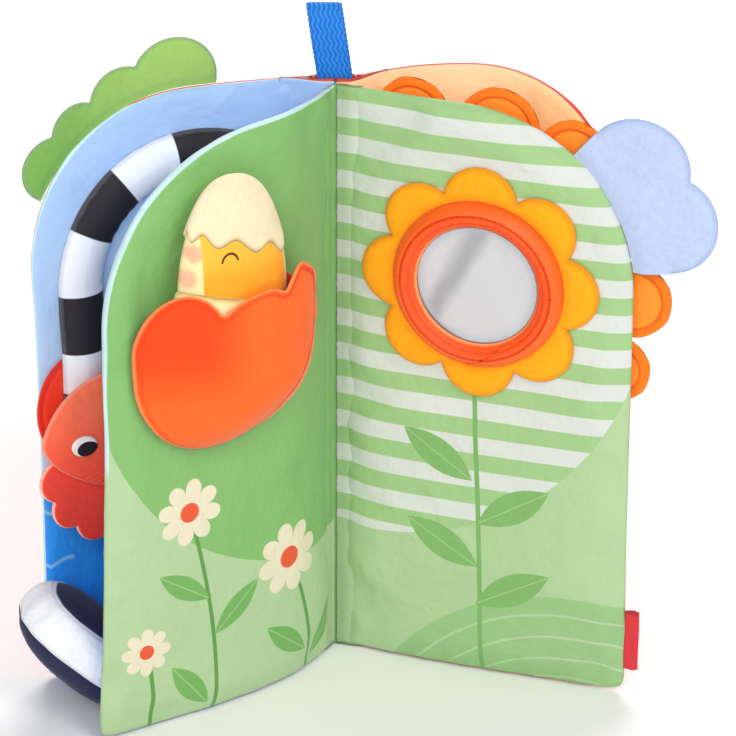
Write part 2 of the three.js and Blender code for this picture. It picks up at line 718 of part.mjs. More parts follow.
// Striped strap: a padded band that arches over the left cover and runs down into the creature
const strapAcrossShares = [-1, -0.8, -0.4, 0, 0.4, 0.8, 1];
function stripedStrap() {
    const archSteps = 14;
    const legSteps = 5;
    const path = [];
    for (let i = 0; i <= archSteps; i++) {
        const angle = THREE.MathUtils.degToRad(strapArchStart * (1 - i / archSteps));
        path.push([
            strapCentreAlong + strapArchRadius * Math.cos(angle),
            strapCentreHeight + strapArchRadius * Math.sin(angle),
            angle,
        ]);
    }
    for (let i = 1; i <= legSteps; i++) {
        const height = strapCentreHeight + (strapFootHeight - strapCentreHeight) * i / legSteps;
        path.push([strapCentreAlong + strapArchRadius, height, 0]);
    }
    const liftStart = backFinHeight + backFinHalfHeight + strapWidth;
    const lift = (height) => {
        return restGap + (backFinThickness + restGap) * smooth((liftStart - height) / strapWidth);
    };
    const grid = (high) => path.map(([along, height, angle]) => strapAcrossShares.map((share) => {
        const placeAlong = along + share * strapWidth / 2 * Math.cos(angle);
        const placeHeight = height + share * strapWidth / 2 * Math.sin(angle);
        const dome = strapRim + (strapDepth - strapRim) * Math.sqrt(1 - share * share);
        const out = fullFace + lift(height) + (high ? dome : 0);
        return leafPoint(leftCover, placeAlong, placeHeight, out);
    }));
    return solidFromGrids(grid(true), grid(false));
}
addPiece('striped_strap', stripedStrap(), 0x232024);

// Sea creature: a flat fin behind the strap, and a stuffed head with an eye and a scalloped skirt
const tilt = THREE.MathUtils.degToRad(headTilt);
const finCover = backFinThickness + restGap;
const ovalReach = (angle, halfWidth, halfHeight) => {
    return 1 / Math.hypot(Math.cos(angle) / halfWidth, Math.sin(angle) / halfHeight);
};
const finReach = (angle) => ovalReach(angle, backFinHalfWidth, backFinHalfHeight);
const finLow = () => fullFace + restGap;
const finHigh = () => finLow() + backFinThickness;
const finSpokes = 28;
const finPlace = [leftCover, backFinAlong, backFinHeight];
const fin = leafPatch(...finPlace, finReach, finSpokes, flatShares, finLow, finHigh);
addPiece('creature_back_fin', fin, 0xf0351f);

const skirtReach = (angle) => {
    let reach = skirtDiscRadius;
    for (let lobe = 0; lobe < skirtLobeCount; lobe++) {
        const turn = THREE.MathUtils.degToRad(skirtLobeFirst + lobe * skirtLobeStep);
        const middle = [skirtDiscRadius * Math.cos(turn), skirtDiscRadius * Math.sin(turn)];
        reach = Math.max(reach, lobeReach(angle, ...middle, skirtLobeRadius));
    }
    return reach;
};
const skirtLow = (along) => {
    const rise = smooth((along - skirtSewnPlace) / skirtRiseRun);
    return fullFace + restGap + (finCover + skirtLift) * rise;
};
const skirtHigh = (along) => skirtLow(along) + skirtThickness;
const skirtSpokes = 40;
const skirtShares = [0, 0.2, 0.4, 0.6, 0.8, 1];
const skirtPlace = [leftCover, skirtAlong, skirtHeight];
const skirt = leafPatch(...skirtPlace, skirtReach, skirtSpokes, skirtShares, skirtLow, skirtHigh);
addPiece('creature_skirt', skirt, 0xe8402c);

const headReach = (angle) => {
    const turned = angle - tilt;
    return ovalReach(turned, headHalfWidth, Math.sin(turned) > 0 ? headHalfHeight : headChin);
};
const headLow = (along) => skirtHigh(along) + headClearance;
const headHigh = (along, height, share) => {
    return headLow(along) + headRim + headDepth * Math.sqrt(1 - share * share);
};
const headShares = [0, 0.2, 0.4, 0.6, 0.8, 0.93, 1];
const headSpokes = 28;
const headPlace = [leftCover, headAlong, headHeight];
const head = leafPatch(...headPlace, headReach, headSpokes, headShares, headLow, headHigh);
addPiece('creature_head', head, 0xff6247);

const eyeReach = (angle) => ovalReach(angle, eyeRadiusWide, eyeRadiusHigh);
const eyeLow = (along, height) => {
    const run = Math.hypot(along - headAlong, height - headHeight);
    const turned = Math.atan2(height - headHeight, along - headAlong);
    return headHigh(along, height, Math.min(run / headReach(turned), 1)) + restGap;
};
const eyeHigh = (along, height) => eyeLow(along, height) + eyeThickness;
const eyeSpokes = 20;
const eye = leafPatch(leftCover, eyeAlong, eyeHeight, eyeReach, eyeSpokes, flatShares, eyeLow, eyeHigh);
addPiece('creature_eye', eye, 0x1c1a1e);

// Striped roll: a stuffed cushion between the left cover and the left page, near the table
const rollSpokes = 20;
const rollRows = 12;
const rollOut = fullFace + restGap + rollHalfDepth;
const rollHeading = leftCover.heading(rollAlong / leafWidth);
const rollSide = leftCover.side;
const rollTurn = THREE.MathUtils.degToRad(rollTilt);
const rollTangent = new THREE.Vector3(rollSide * Math.cos(rollHeading), -Math.sin(rollHeading), 0);
const rollNormal = new THREE.Vector3(-rollSide * Math.sin(rollHeading), -Math.cos(rollHeading), 0);
const rollGrid = Array.from({ length: rollSpokes }, (_, spoke) => {
    const turn = spoke / rollSpokes * 2 * Math.PI;
    const squared = (value) => Math.sign(value) * Math.pow(Math.abs(value), rollSquareness);
    return Array.from({ length: rollRows + 1 }, (_, row) => {
        const rise = row / rollRows * Math.PI;
        const swell = row === 0 || row === rollRows ? 0 : Math.pow(Math.sin(rise), rollSquareness);
        const spread = new THREE.Vector2(
            rollHalfLength * swell * squared(Math.cos(turn)),
            -rollHalfHeight * squared(Math.cos(rise)),
        ).rotateAround(new THREE.Vector2(0, 0), rollTurn);
        return leafPoint(leftCover, rollAlong, rollHeight + spread.y, rollOut)
            .addScaledVector(rollTangent, spread.x)
            .addScaledVector(rollNormal, rollHalfDepth * swell * squared(Math.sin(turn)));
    });
});
addPiece('striped_roll', closedBall(rollGrid), 0x262a55);

book.updateMatrixWorld(true);
export default book;
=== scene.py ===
import math

import bmesh
import bpy
import numpy as np
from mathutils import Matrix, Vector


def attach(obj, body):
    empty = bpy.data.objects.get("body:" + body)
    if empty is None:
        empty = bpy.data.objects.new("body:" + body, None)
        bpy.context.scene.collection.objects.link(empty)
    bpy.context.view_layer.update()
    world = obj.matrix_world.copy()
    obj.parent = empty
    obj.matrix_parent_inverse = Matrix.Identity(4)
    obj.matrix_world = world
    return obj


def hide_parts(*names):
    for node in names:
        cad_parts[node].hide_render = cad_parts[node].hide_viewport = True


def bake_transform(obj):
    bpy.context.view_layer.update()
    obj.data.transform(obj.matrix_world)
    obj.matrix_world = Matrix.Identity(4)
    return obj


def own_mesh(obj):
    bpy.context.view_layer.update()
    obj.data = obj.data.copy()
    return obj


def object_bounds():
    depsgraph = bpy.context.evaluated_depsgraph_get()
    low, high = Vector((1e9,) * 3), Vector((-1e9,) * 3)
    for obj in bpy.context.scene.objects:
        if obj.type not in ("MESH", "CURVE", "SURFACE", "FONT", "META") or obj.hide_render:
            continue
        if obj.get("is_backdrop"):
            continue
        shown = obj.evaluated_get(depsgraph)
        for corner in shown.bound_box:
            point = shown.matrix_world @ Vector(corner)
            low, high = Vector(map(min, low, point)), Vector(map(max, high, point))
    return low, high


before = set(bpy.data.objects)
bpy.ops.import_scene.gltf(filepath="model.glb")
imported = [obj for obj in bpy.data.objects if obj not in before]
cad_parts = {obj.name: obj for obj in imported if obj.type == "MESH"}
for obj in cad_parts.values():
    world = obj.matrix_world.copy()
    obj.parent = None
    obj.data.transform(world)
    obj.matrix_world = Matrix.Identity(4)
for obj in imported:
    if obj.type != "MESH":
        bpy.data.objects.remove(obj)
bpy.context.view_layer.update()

# Studio and camera
# The book stands on a plain pale table in soft daylight. The camera looks down at it from the
# reader's side, far away, as the catalogue picture does.
scene = bpy.context.scene
scene.view_settings.view_transform = "Standard"
scene.view_settings.look = "None"

CAMERA_ELEVATION = math.radians(24.7)
CAMERA_DISTANCE = 1.695
CAMERA_LENS = 223.3
PHOTO_WIDTH = 736
SPINE_PIXELS_LEFT, SPINE_PIXELS_BELOW = 33, 1.4
AIM_HEIGHT = 0.1145

camera_data = bpy.data.cameras.new("camera")
camera_data.lens = CAMERA_LENS
camera_data.sensor_width = 36
camera_data.shift_x = SPINE_PIXELS_LEFT / PHOTO_WIDTH
camera_data.shift_y = SPINE_PIXELS_BELOW / PHOTO_WIDTH
camera_data.clip_end = 20
camera = bpy.data.objects.new("camera", camera_data)
camera_rise = AIM_HEIGHT + CAMERA_DISTANCE * math.sin(CAMERA_ELEVATION)
camera.location = (0, -CAMERA_DISTANCE * math.cos(CAMERA_ELEVATION), camera_rise)
camera.rotation_euler = (math.pi / 2 - CAMERA_ELEVATION, 0, 0)
scene.collection.objects.link(camera)
scene.camera = camera

DAYLIGHT = 0.42
world = bpy.data.worlds.new("studio")
world.use_nodes = True
world.node_tree.nodes["Background"].inputs["Color"].default_value = (1, 1, 1, 1)
world.node_tree.nodes["Background"].inputs["Strength"].default_value = DAYLIGHT
scene.world = world

LAMP_AIM = (0, 0, 0.1)


def soft_light(name, place, size, power):
    """A square lamp of the given size in metres and power in watts, turned to face the book."""
    data = bpy.data.lights.new(name, "AREA")
    data.size = size
    data.energy = power
    lamp = bpy.data.objects.new(name, data)
    lamp.location = place
    way = np.array(LAMP_AIM) - np.array(place)
    flat = math.hypot(way[0], way[1])
    lamp.rotation_euler = (math.pi / 2 + math.atan2(way[2], flat), 0, math.atan2(-way[0], way[1]))
    scene.collection.objects.link(lamp)


soft_light("key_light", (0.75, -1.1, 1.25), 0.7, 9)
soft_light("fill_light", (-0.3, -1.45, 0.95), 1.0, 12)
soft_light("back_light", (0.2, 1.1, 1.2), 0.9, 16)

TABLE_HALF = 3
table_mesh = bpy.data.meshes.new("table")
corners = [(-1, -1), (1, -1), (1, 1), (-1, 1)]
table_mesh.from_pydata([(x * TABLE_HALF, y * TABLE_HALF, 0) for x, y in corners], [], [(0, 1, 2, 3)])
table = bpy.data.objects.new("table", table_mesh)
scene.collection.objects.link(table)
table_material = bpy.data.materials.new("pale_table")
table_material.use_nodes = True
table_shader = table_material.node_tree.nodes["Principled BSDF"]
table_shader.inputs["Base Color"].default_value = (0.95, 0.95, 0.95, 1)
table_shader.inputs["Roughness"].default_value = 0.8
table_mesh.materials.append(table_material)
table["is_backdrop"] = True

# Printed leaves
# Each of the four leaves is two cloths, printed, sewn face to face along an arched outline, turned
# and filled with thin wadding and crackling film, so its seams pucker and its edges are soft.
MM = 0.001
LEAF_WIDTH = 0.113
LEAF_HEIGHT = 0.229
ARCH_RADIUS = 0.067
FOOT_CORNER = 0.007
PUFF_DEPTH = 0.0026
PUFF_RUN = 0.014
CLOTH_THICKNESS = 0.0006
SEAM_HALF_GAP = 0.00015
HINGE_LAP = 0.0004
HINGE_SEAM = 0.003
REST_GAP = 0.0003
FACE = SEAM_HALF_GAP + PUFF_DEPTH + CLOTH_THICKNESS
ARCH_ALONG = LEAF_WIDTH - ARCH_RADIUS
ARCH_HEIGHT = LEAF_HEIGHT - ARCH_RADIUS
PLAN_STEPS = 160

PAGE_HINGE_X = 0.0023
COVER_HINGE_X = 0.0085
COVER_HINGE_Y = 0.008
# Each leaf leaves its hinge at its near heading, in degrees towards the reader, and bends to its
# far one, sooner with a higher settle.
LEAVES = {
    "left_page": dict(side=-1, near=77, far=32, settle=3, hinge=(-PAGE_HINGE_X, 0)),
    "right_page": dict(side=1, near=28, far=18, settle=3, hinge=(PAGE_HINGE_X, 0)),
    "left_cover": dict(side=-1, near=9, far=34, settle=1, hinge=(-COVER_HINGE_X, COVER_HINGE_Y)),
    "right_cover": dict(side=1, near=-36, far=62, settle=1, hinge=(COVER_HINGE_X, COVER_HINGE_Y)),
}


def leaf_heading(leaf, share):
    """Heading of the leaf seen from above, in radians towards the reader: the far heading plus the
    rest of the near one, which fades with the power of the share left."""
    rest = (1 - np.clip(share, 0, 1)) ** leaf["settle"]
    return np.radians(leaf["far"] + (leaf["near"] - leaf["far"]) * rest)


for leaf in LEAVES.values():
    middle_shares = (np.arange(PLAN_STEPS) + 0.5) / PLAN_STEPS
    headings = leaf_heading(leaf, middle_shares)
    step = LEAF_WIDTH / PLAN_STEPS
    leaf["plan_x"] = np.concatenate([[0], np.cumsum(np.cos(headings) * step)])
    leaf["plan_y"] = np.concatenate([[0], np.cumsum(-np.sin(headings) * step)])


def leaf_point(leaf, along, height, out):
    """Points of a leaf's space: the plan curve at a distance along the leaf, the height, and the
    distance out of the reading face, square to the curve. Past an end the curve goes on straight."""
    along, height, out = np.broadcast_arrays(along, height, out)
    place = np.clip(along / LEAF_WIDTH, 0, 1) * PLAN_STEPS
    steps = np.arange(PLAN_STEPS + 1)
    heading = leaf_heading(leaf, along / LEAF_WIDTH)
    beyond = along - np.clip(along, 0, LEAF_WIDTH)
    x = np.interp(place, steps, leaf["plan_x"]) + beyond * np.cos(heading) - out * np.sin(heading)
    y = np.interp(place, steps, leaf["plan_y"]) - beyond * np.sin(heading) - out * np.cos(heading)
    hinge_x, hinge_y = leaf["hinge"]
    return np.stack([hinge_x + leaf["side"] * x, hinge_y + y, height], axis=-1)


def grid_faces(rows, columns, wrap_rows=False, wrap_columns=False):
    """The quads of a grid of points numbered row by row, which may close on itself either way."""
    i, j = np.meshgrid(
        np.arange(rows if wrap_rows else rows - 1),
        np.arange(columns if wrap_columns else columns - 1),
        indexing="ij",
    )
    next_i, next_j = (i + 1) % rows, (j + 1) % columns
    corners = [i * columns + j, next_i * columns + j, next_i * columns + next_j, i * columns + next_j]
    return np.stack(corners, axis=-1).reshape(-1, 4)


def make_piece(name, points, faces, place, materials, face_materials=None):
    """A smooth mesh object from points, quads and each point's place in the piece's own pattern.
    Points that coincide are merged and the faces are turned outwards."""
    mesh = bpy.data.meshes.new(name)
    mesh.from_pydata(points.reshape(-1, 3).tolist(), [], faces.tolist())
    attribute = mesh.attributes.new("place", "FLOAT_VECTOR", "POINT")
    attribute.data.foreach_set("vector", place.reshape(-1).astype(np.float32))
    for material in materials:
        mesh.materials.append(material)
    if face_materials is not None:
        mesh.polygons.foreach_set("material_index", face_materials.astype(np.int32))
    shell = bmesh.new()
    shell.from_mesh(mesh)
    bmesh.ops.remove_doubles(shell, verts=shell.verts, dist=1e-6)
    bmesh.ops.dissolve_degenerate(shell, edges=shell.edges, dist=1e-7)
    bmesh.ops.recalc_face_normals(shell, faces=shell.faces)
    for face in shell.faces:
        face.smooth = True
    shell.to_mesh(mesh)
    shell.free()
    piece = bpy.data.objects.new(name, mesh)
    scene.collection.objects.link(piece)
    return piece


def smooth_finish(piece):
    """One level of subdivision, so that a coarse grid's curves come out smooth."""
    finish = piece.modifiers.new("smooth", "SUBSURF")
    finish.levels = 1
    finish.render_levels = 1


def fasten(piece, nodes, body):
    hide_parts(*nodes)
    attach(piece, body)


def ease_out(share):
    """A rise from nothing to one that starts steep and ends level."""
    return 1 - (1 - np.clip(share, 0, 1)) ** 2


def soft_step(share):
    """A rise from nothing to one that starts and ends level."""
    held = np.clip(share, 0, 1)
    return held * held * (3 - 2 * held)


def bell(value, centre, width):
    """One at the centre and a smooth fall to nothing on both sides."""
    return np.exp(-(((value - centre) / width) ** 2))


def signed_power(value, power):
    """A power of a value's size, with the value's sign: a low power squares a circle's corners."""
    return np.sign(value) * np.abs(value) ** power


def seam_distance(along, height):
    """How far a place lies inside the leaf's outline, the least distance to its straight edges,
    its arch and its round foot corner."""
    inside = np.minimum.reduce([along, LEAF_WIDTH - along, height, LEAF_HEIGHT - height])
    arch = ARCH_RADIUS - np.hypot(along - ARCH_ALONG, height - ARCH_HEIGHT)
    inside = np.where((along > ARCH_ALONG) & (height > ARCH_HEIGHT), np.minimum(inside, arch), inside)
    corner_along, corner_height = LEAF_WIDTH - FOOT_CORNER, FOOT_CORNER
    corner = FOOT_CORNER - np.hypot(along - corner_along, height - corner_height)
    return np.where((along > corner_along) & (height < corner_height), np.minimum(inside, corner), inside)


def leaf_chart(across, up):
    """A grid of places that fills the leaf's outline: a patch stretched between its four sides,
    whose outer corners lie half way round the foot corner and half way round the arch."""

    def corner(centre_along, centre_height, radius, first, last):
        """Points round a corner between two angles from the way along the leaf."""
        turns = np.radians(np.linspace(first, last, 24))
        return np.stack([centre_along + radius * np.cos(turns), centre_height + radius * np.sin(turns)], -1)

    foot_middle = (LEAF_WIDTH - FOOT_CORNER, FOOT_CORNER)
    foot, foot_rise = (corner(*foot_middle, FOOT_CORNER, *ends) for ends in ((-90, -45), (-45, 0)))
    arch_rise, arch_top = (corner(ARCH_ALONG, ARCH_HEIGHT, ARCH_RADIUS, *ends) for ends in ((0, 45), (90, 45)))
    start = -HINGE_LAP

    def spread(path, count):
        """Points spaced evenly along a path."""
        run = np.concatenate([[0], np.cumsum(np.hypot(*np.diff(path, axis=0).T))])
        at = np.linspace(0, run[-1], count)
        return np.stack([np.interp(at, run, path[:, k]) for k in (0, 1)], -1)

    relaxing_rounds = 120
    bottom = spread(np.concatenate([[[start, 0]], foot]), across)
    top = spread(np.concatenate([[[start, LEAF_HEIGHT]], arch_top]), across)
    hinge = spread(np.array([[start, 0], [start, LEAF_HEIGHT]]), up)
    edge = spread(np.concatenate([foot_rise, arch_rise]), up)
    a = np.linspace(0, 1, across)[:, None, None]
    b = np.linspace(0, 1, up)[None, :, None]
    chart = (1 - b) * bottom[:, None] + b * top[:, None] + (1 - a) * hinge[None] + a * edge[None]
    chart -= (1 - b) * ((1 - a) * bottom[0] + a * bottom[-1]) + b * ((1 - a) * top[0] + a * top[-1])
    for _ in range(relaxing_rounds):
        around = chart[:-2, 1:-1] + chart[2:, 1:-1] + chart[1:-1, :-2] + chart[1:-1, 2:]
        chart[1:-1, 1:-1] = around / 4
    return chart


LEAF_ACROSS = 46
LEAF_UP = 88
chart = leaf_chart(LEAF_ACROSS, LEAF_UP)
chart_along, chart_height = chart[..., 0], chart[..., 1]
chart_inside = np.maximum(seam_distance(np.maximum(chart_along, 0), chart_height), 0)
on_seam = np.zeros((LEAF_ACROSS, LEAF_UP), bool)
on_seam[[0, -1], :] = True
on_seam[:, [0, -1]] = True


def leaf_puff(inside, along):
    """Height of a leaf's face over its middle plane: nothing at the seam, then a round shoulder up
    to the full depth of the wadding."""
    wadding = PUFF_DEPTH * ease_out(np.minimum(inside, along - HINGE_SEAM) / PUFF_RUN)
    shoulder = np.clip(inside / 0.0012, 0, 1)
    return (SEAM_HALF_GAP + CLOTH_THICKNESS) * np.sqrt(1 - (1 - shoulder) ** 2) + wadding


PUCKER_HEIGHT = 0.00042
PUCKER_RADIUS = 0.085


def seam_pucker(along, height, inside, seed):
    """Small gathers that the sewing thread draws into the cloth: ripples that run square to the
    seam, close together, and fade within a few centimetres of it."""
    ring = np.arctan2(height - 0.4 * LEAF_HEIGHT, along - 0.45 * LEAF_WIDTH) * PUCKER_RADIUS
    ripple = np.sin(ring / 0.0065 * 2 * np.pi / 1.9 + 2.1 * np.sin(ring * 41 + seed))
    ripple += 0.7 * np.sin(ring / 0.0041 * 2 * np.pi / 1.7 + 1.7 * np.sin(ring * 57 + 2 * seed))
    strength = 0.55 + 0.45 * np.sin(ring * 31 + 3 * seed)
    fade = np.clip(inside / 0.0025, 0, 1) * np.exp(-inside / 0.0085)
    return PUCKER_HEIGHT * ripple * strength * fade


def join_skins(front, back, place, shared):
    """Two grids of points that share their marked rim points, as one closed skin: its points,
    places and quads, and which quads belong to the back."""
    rows, columns = shared.shape
    numbers = np.arange(rows * columns).reshape(rows, columns)
    behind = numbers.copy()
    behind[~shared] = rows * columns + np.arange((~shared).sum())
    faces = grid_faces(rows, columns)
    points = np.concatenate([front.reshape(-1, 3), back[~shared]])
    places = np.concatenate([place.reshape(-1, 3), place[~shared]])
    both = np.concatenate([faces, behind.ravel()[faces][:, ::-1]])
    return points, places, both, np.repeat([0, 1], len(faces))


def smooth_grid(values, rounds):
    """A grid of values, each averaged again and again with its four neighbours; the rim stays."""
    values = values.copy()
    for _ in range(rounds):
        around = values[:-2, 1:-1] + values[2:, 1:-1] + values[1:-1, :-2] + values[1:-1, 2:]
        values[1:-1, 1:-1] = 0.5 * values[1:-1, 1:-1] + around / 8
    return values


def simulate_pillow(piece, pinned, pressure, frames):
    """Lets Blender's cloth inflate a closed skin whose pinned points stay, and gives the points
    where it comes to rest."""
    group = piece.vertex_groups.new(name="pinned")
    group.add([int(i) for i in np.flatnonzero(pinned)], 1.0, "ADD")
    cloth = piece.modifiers.new("cloth", "CLOTH")
    cloth.settings.quality = 5
    cloth.settings.mass = 0.15
    cloth.settings.tension_stiffness = 8
    cloth.settings.compression_stiffness = 8
    cloth.settings.shear_stiffness = 4
    cloth.settings.bending_stiffness = 0.05
    cloth.settings.shrink_min = -0.03
    cloth.settings.vertex_group_mass = "pinned"
    cloth.settings.use_pressure = True
    cloth.settings.uniform_pressure_force = pressure
    cloth.settings.effector_weights.gravity = 0
    cloth.collision_settings.use_collision = False
    cloth.point_cache.frame_start = 1
    cloth.point_cache.frame_end = frames
    for number in range(1, frames + 1):
        scene.frame_set(number)
    moved = np.empty(len(piece.data.vertices) * 3, np.float32)
    settled = piece.evaluated_get(bpy.context.evaluated_depsgraph_get())
    settled.data.vertices.foreach_get("co", moved)
    piece.modifiers.remove(cloth)
    piece.vertex_groups.remove(group)
    scene.frame_set(1)
    return moved.reshape(-1, 3).astype(float)


def clear_of_pieces(along, height, ovals):
    """One away from the sewn-on pieces and nothing under them, so that the cloth stays flat there.
    Each oval is its centre along and up the leaf and its two half sizes."""
    clear = np.ones(np.shape(along))
    for centre_along, centre_height, half_along, half_height in ovals:
        aside, above = along - centre_along * MM, height - centre_height * MM
        reach = np.hypot(aside / half_along, above / half_height)
        clear = np.minimum(clear, np.clip((reach - MM) / (0.25 * MM), 0, 1))
    return clear


# How far each leaf's free edge stands out or in at some heights, in millimetres, where the stuffing
# and the sewing pull it.
LEAF_EDGES = {
    "left_page": [(0, 5.5), (40, 2.5), (110, 0), (229, 0)],
    "right_page": [(0, 1), (60, 0), (229, 0)],
    "left_cover": [(0, -5), (100, -5), (150, -4), (200, -1), (229, 0)],
    "right_cover": [(0, 0), (229, 0)],
}
SWELL_LIMIT = 0.0016
PILLOW_PRESSURE = 4
PILLOW_FRAMES = 20


def padded_leaf(name, seed, front_ovals, back_ovals, front_material, back_material):
    """A leaf as one stuffed skin: the two faces of the chart joined at the seam, each lifted by
    the wadding and rippled at the seam, then swollen by the cloth and capped."""
    leaf = LEAVES[name]
    edge_heights, edge_moves = np.array(LEAF_EDGES[name]).T
    edge_move = np.interp(chart_height / MM, edge_heights, edge_moves) * MM
    spread_along = chart_along + edge_move * np.clip(chart_along / LEAF_WIDTH, 0, 1) ** 2
    ripple = seam_pucker(chart_along, chart_height, chart_inside, seed)
    lift = leaf_puff(chart_inside, chart_along + HINGE_LAP)
    ovals = {1: front_ovals, -1: back_ovals}
    clear = {side: clear_of_pieces(chart_along, chart_height, ovals[side]) for side in (1, -1)}
    outs = {side: side * (np.where(on_seam, 0, lift) + ripple * clear[side]) for side in (1, -1)}
    points = [leaf_point(leaf, spread_along, chart_height, outs[side]) for side in (1, -1)]
    place = np.stack([chart_along / MM, chart_height / MM, chart_inside / MM], -1)
    joined, places, faces, is_back = join_skins(points[0], points[1], place, on_seam)
    piece = make_piece(f"{name}_leaf", joined, faces, places, [front_material, back_material], is_back)
    pinned = np.concatenate([on_seam.ravel(), np.zeros((~on_seam).sum(), bool)])
    moved = simulate_pillow(piece, pinned, PILLOW_PRESSURE, PILLOW_FRAMES)
    face, middle = (leaf_point(leaf, spread_along, chart_height, out) for out in (1, 0))
    out_way = face - middle
    step = moved - joined
    for side in (1, -1):
        swell = np.zeros(on_seam.shape)
        if side == 1:
            swell = np.sum(step[: on_seam.size].reshape(*on_seam.shape, 3) * out_way, -1)
        else:
            swell[~on_seam] = np.sum(step[on_seam.size:] * out_way[~on_seam], -1)
        swell = SWELL_LIMIT * np.tanh(smooth_grid(swell, 2) / SWELL_LIMIT)
        outs[side] = outs[side] + np.where(on_seam, 0, swell * clear[side])
    points = [leaf_point(leaf, spread_along, chart_height, outs[side]) for side in (1, -1)]
    joined = join_skins(points[0], points[1], place, on_seam)[0]
    piece.data.vertices.foreach_set("co", joined.ravel().astype(np.float32))
    piece.data.update()
    smooth_finish(piece)
    layers = ("back_cloth", "padding", "crinkle_film", "front_cloth")
    fasten(piece, [f"{name}_{layer}" for layer in layers], name)


class Value:
    """A node's output. A sum, product, quotient or power of it adds the math node for that."""

    def __init__(self, graph, socket):
        self.graph, self.socket = graph, socket

    def __add__(self, other):
        return self.graph.maths("ADD", self, other)

    def __sub__(self, other):
        return self.graph.maths("SUBTRACT", self, other)

    def __rsub__(self, other):
        return self.graph.maths("SUBTRACT", other, self)

    def __mul__(self, other):
        return self.graph.maths("MULTIPLY", self, other)

    def __truediv__(self, other):
        return self.graph.maths("DIVIDE", self, other)

    def __pow__(self, other):
        return self.graph.maths("POWER", self, other)

    def __abs__(self):
        return self.graph.maths("ABSOLUTE", self)


class Graph:
    """One node tree being drawn up. Each call adds a node and gives its output as a Value, and
    takes either plain values or other Values."""

    def __init__(self, tree):
        self.tree = tree

    def feed(self, socket, value):
        if isinstance(value, Value):
            self.tree.links.new(value.socket, socket)
        else:
            socket.default_value = value

    def node(self, kind, inputs, output=0, **settings):
        made = self.tree.nodes.new(kind)
        for key, value in settings.items():
            setattr(made, key, value)
        for key, value in inputs.items():
            self.feed(made.inputs[key], value)
        return Value(self, made.outputs[output])

    def maths(self, operation, *values):
        return self.node("ShaderNodeMath", dict(enumerate(values)), operation=operation)

    def lift(self, value, low, high):
        """Nothing below low, one above high, and a soft rise between them."""
        inputs = {"Value": value, "From Min": low, "From Max": high}
        return self.node("ShaderNodeMapRange", inputs, interpolation_type="SMOOTHSTEP")

    def fall(self, value, low, high):
        """One below low, nothing above high, and a soft fall between them."""
        return 1 - self.lift(value, low, high)

    def between(self, value, low, high, soft):
        """One where a value lies between two others, with soft ends."""
        return self.lift(value, low - soft, low + soft) - self.lift(value, high - soft, high + soft)

    def mix(self, share, under, over):
        inputs = {"Factor": share, 6: under, 7: over}
        return self.node("ShaderNodeMix", inputs, 2, data_type="RGBA")

    def noise(self, place, scale, detail=2, roughness=0.5):
        inputs = {"Vector": place, "Scale": scale, "Detail": detail, "Roughness": roughness}
        return self.node("ShaderNodeTexNoise", inputs)

    def split(self, vector):
        made = self.tree.nodes.new("ShaderNodeSeparateXYZ")
        self.feed(made.inputs[0], vector)
        return [Value(self, part) for part in made.outputs]

    def vector(self, operation, *values):
        output = 1 if operation in ("LENGTH", "DISTANCE", "DOT_PRODUCT") else 0
        return self.node("ShaderNodeVectorMath", dict(enumerate(values)), output, operation=operation)

    def offset(self, place, centre, stretch=(1, 1, 0)):
        """The way from a centre to a place along and up the leaf, with each part stretched."""
        return self.vector("MULTIPLY", self.vector("SUBTRACT", place, centre), stretch)

    def group(self, name, inputs, output):
        made = self.tree.nodes.new("ShaderNodeGroup")
        made.node_tree = bpy.data.node_groups[name]
        for key, value in inputs.items():
            self.feed(made.inputs[key], value)
        if isinstance(output, str):
            return Value(self, made.outputs[output])
        return [Value(self, made.outputs[key]) for key in output]


def new_group(name, inputs, outputs):
    """An empty node group with the given inputs and outputs, each a name and a kind of socket."""
    tree = bpy.data.node_groups.new(name, "ShaderNodeTree")
    for way, sockets in (("INPUT", inputs), ("OUTPUT", outputs)):
        for label, kind in sockets.items():
            tree.interface.new_socket(label, in_out=way, socket_type=f"NodeSocket{kind}")
    graph = Graph(tree)
    sockets = tree.nodes.new("NodeGroupInput").outputs
    given = {label: Value(graph, sockets[label]) for label in inputs}
    return graph, given, tree.nodes.new("NodeGroupOutput").inputs


def shade(code):
    """A colour as the screen shows it, from its six figures, as the light the shader needs."""
    parts = [int(code[i:i + 2], 16) / 255 for i in (0, 2, 4)]
    return tuple(p / 12.92 if p <= 0.04045 else ((p + 0.055) / 1.055) ** 2.4 for p in parts) + (1,)


# Woven cloth: a plain weave of 0.35 mm yarns, the soft creases of thin cloth over crackling film,
# and slightly uneven dye. Heights are in millimetres.
graph, given, result = new_group(
    "woven_cloth", {"Place": "Vector", "Creases": "Float"}, {"Shade": "Float", "Height": "Float"}
)
along, height, inside = graph.split(given["Place"])
YARN = 0.35
warp = graph.maths("SINE", along * (2 * math.pi / YARN))
weft = graph.maths("SINE", height * (2 * math.pi / YARN))
yarns = warp * weft * 0.012
soft_folds = graph.noise(given["Place"], 0.055, 3, 0.55)
bent = graph.node("ShaderNodeTexNoise", {"Vector": given["Place"], "Scale": 0.08}, 1)
shifted = graph.vector("MULTIPLY_ADD", bent, (9, 9, 9), given["Place"])
ridges = graph.node(
    "ShaderNodeTexNoise", {"Vector": shifted, "Scale": 0.11, "Detail": 2}, noise_type="RIDGED_MULTIFRACTAL"
)
crease = ridges * given["Creases"] * 0.30
folds = soft_folds * given["Creases"] * 1.5
graph.feed(result["Height"], yarns + (crease + folds))
patches = graph.noise(given["Place"], 0.02, 3, 0.6)
dye = graph.maths("MULTIPLY_ADD", patches, 0.10, 0.95)
# The tone is darker by up to 7% within about 1.6 mm of the seam.
near_seam_darkening = graph.maths("MULTIPLY_ADD", graph.lift(inside, 0.2, 1.6), 0.07, 0.93)
graph.feed(result["Shade"], dye * near_seam_darkening)

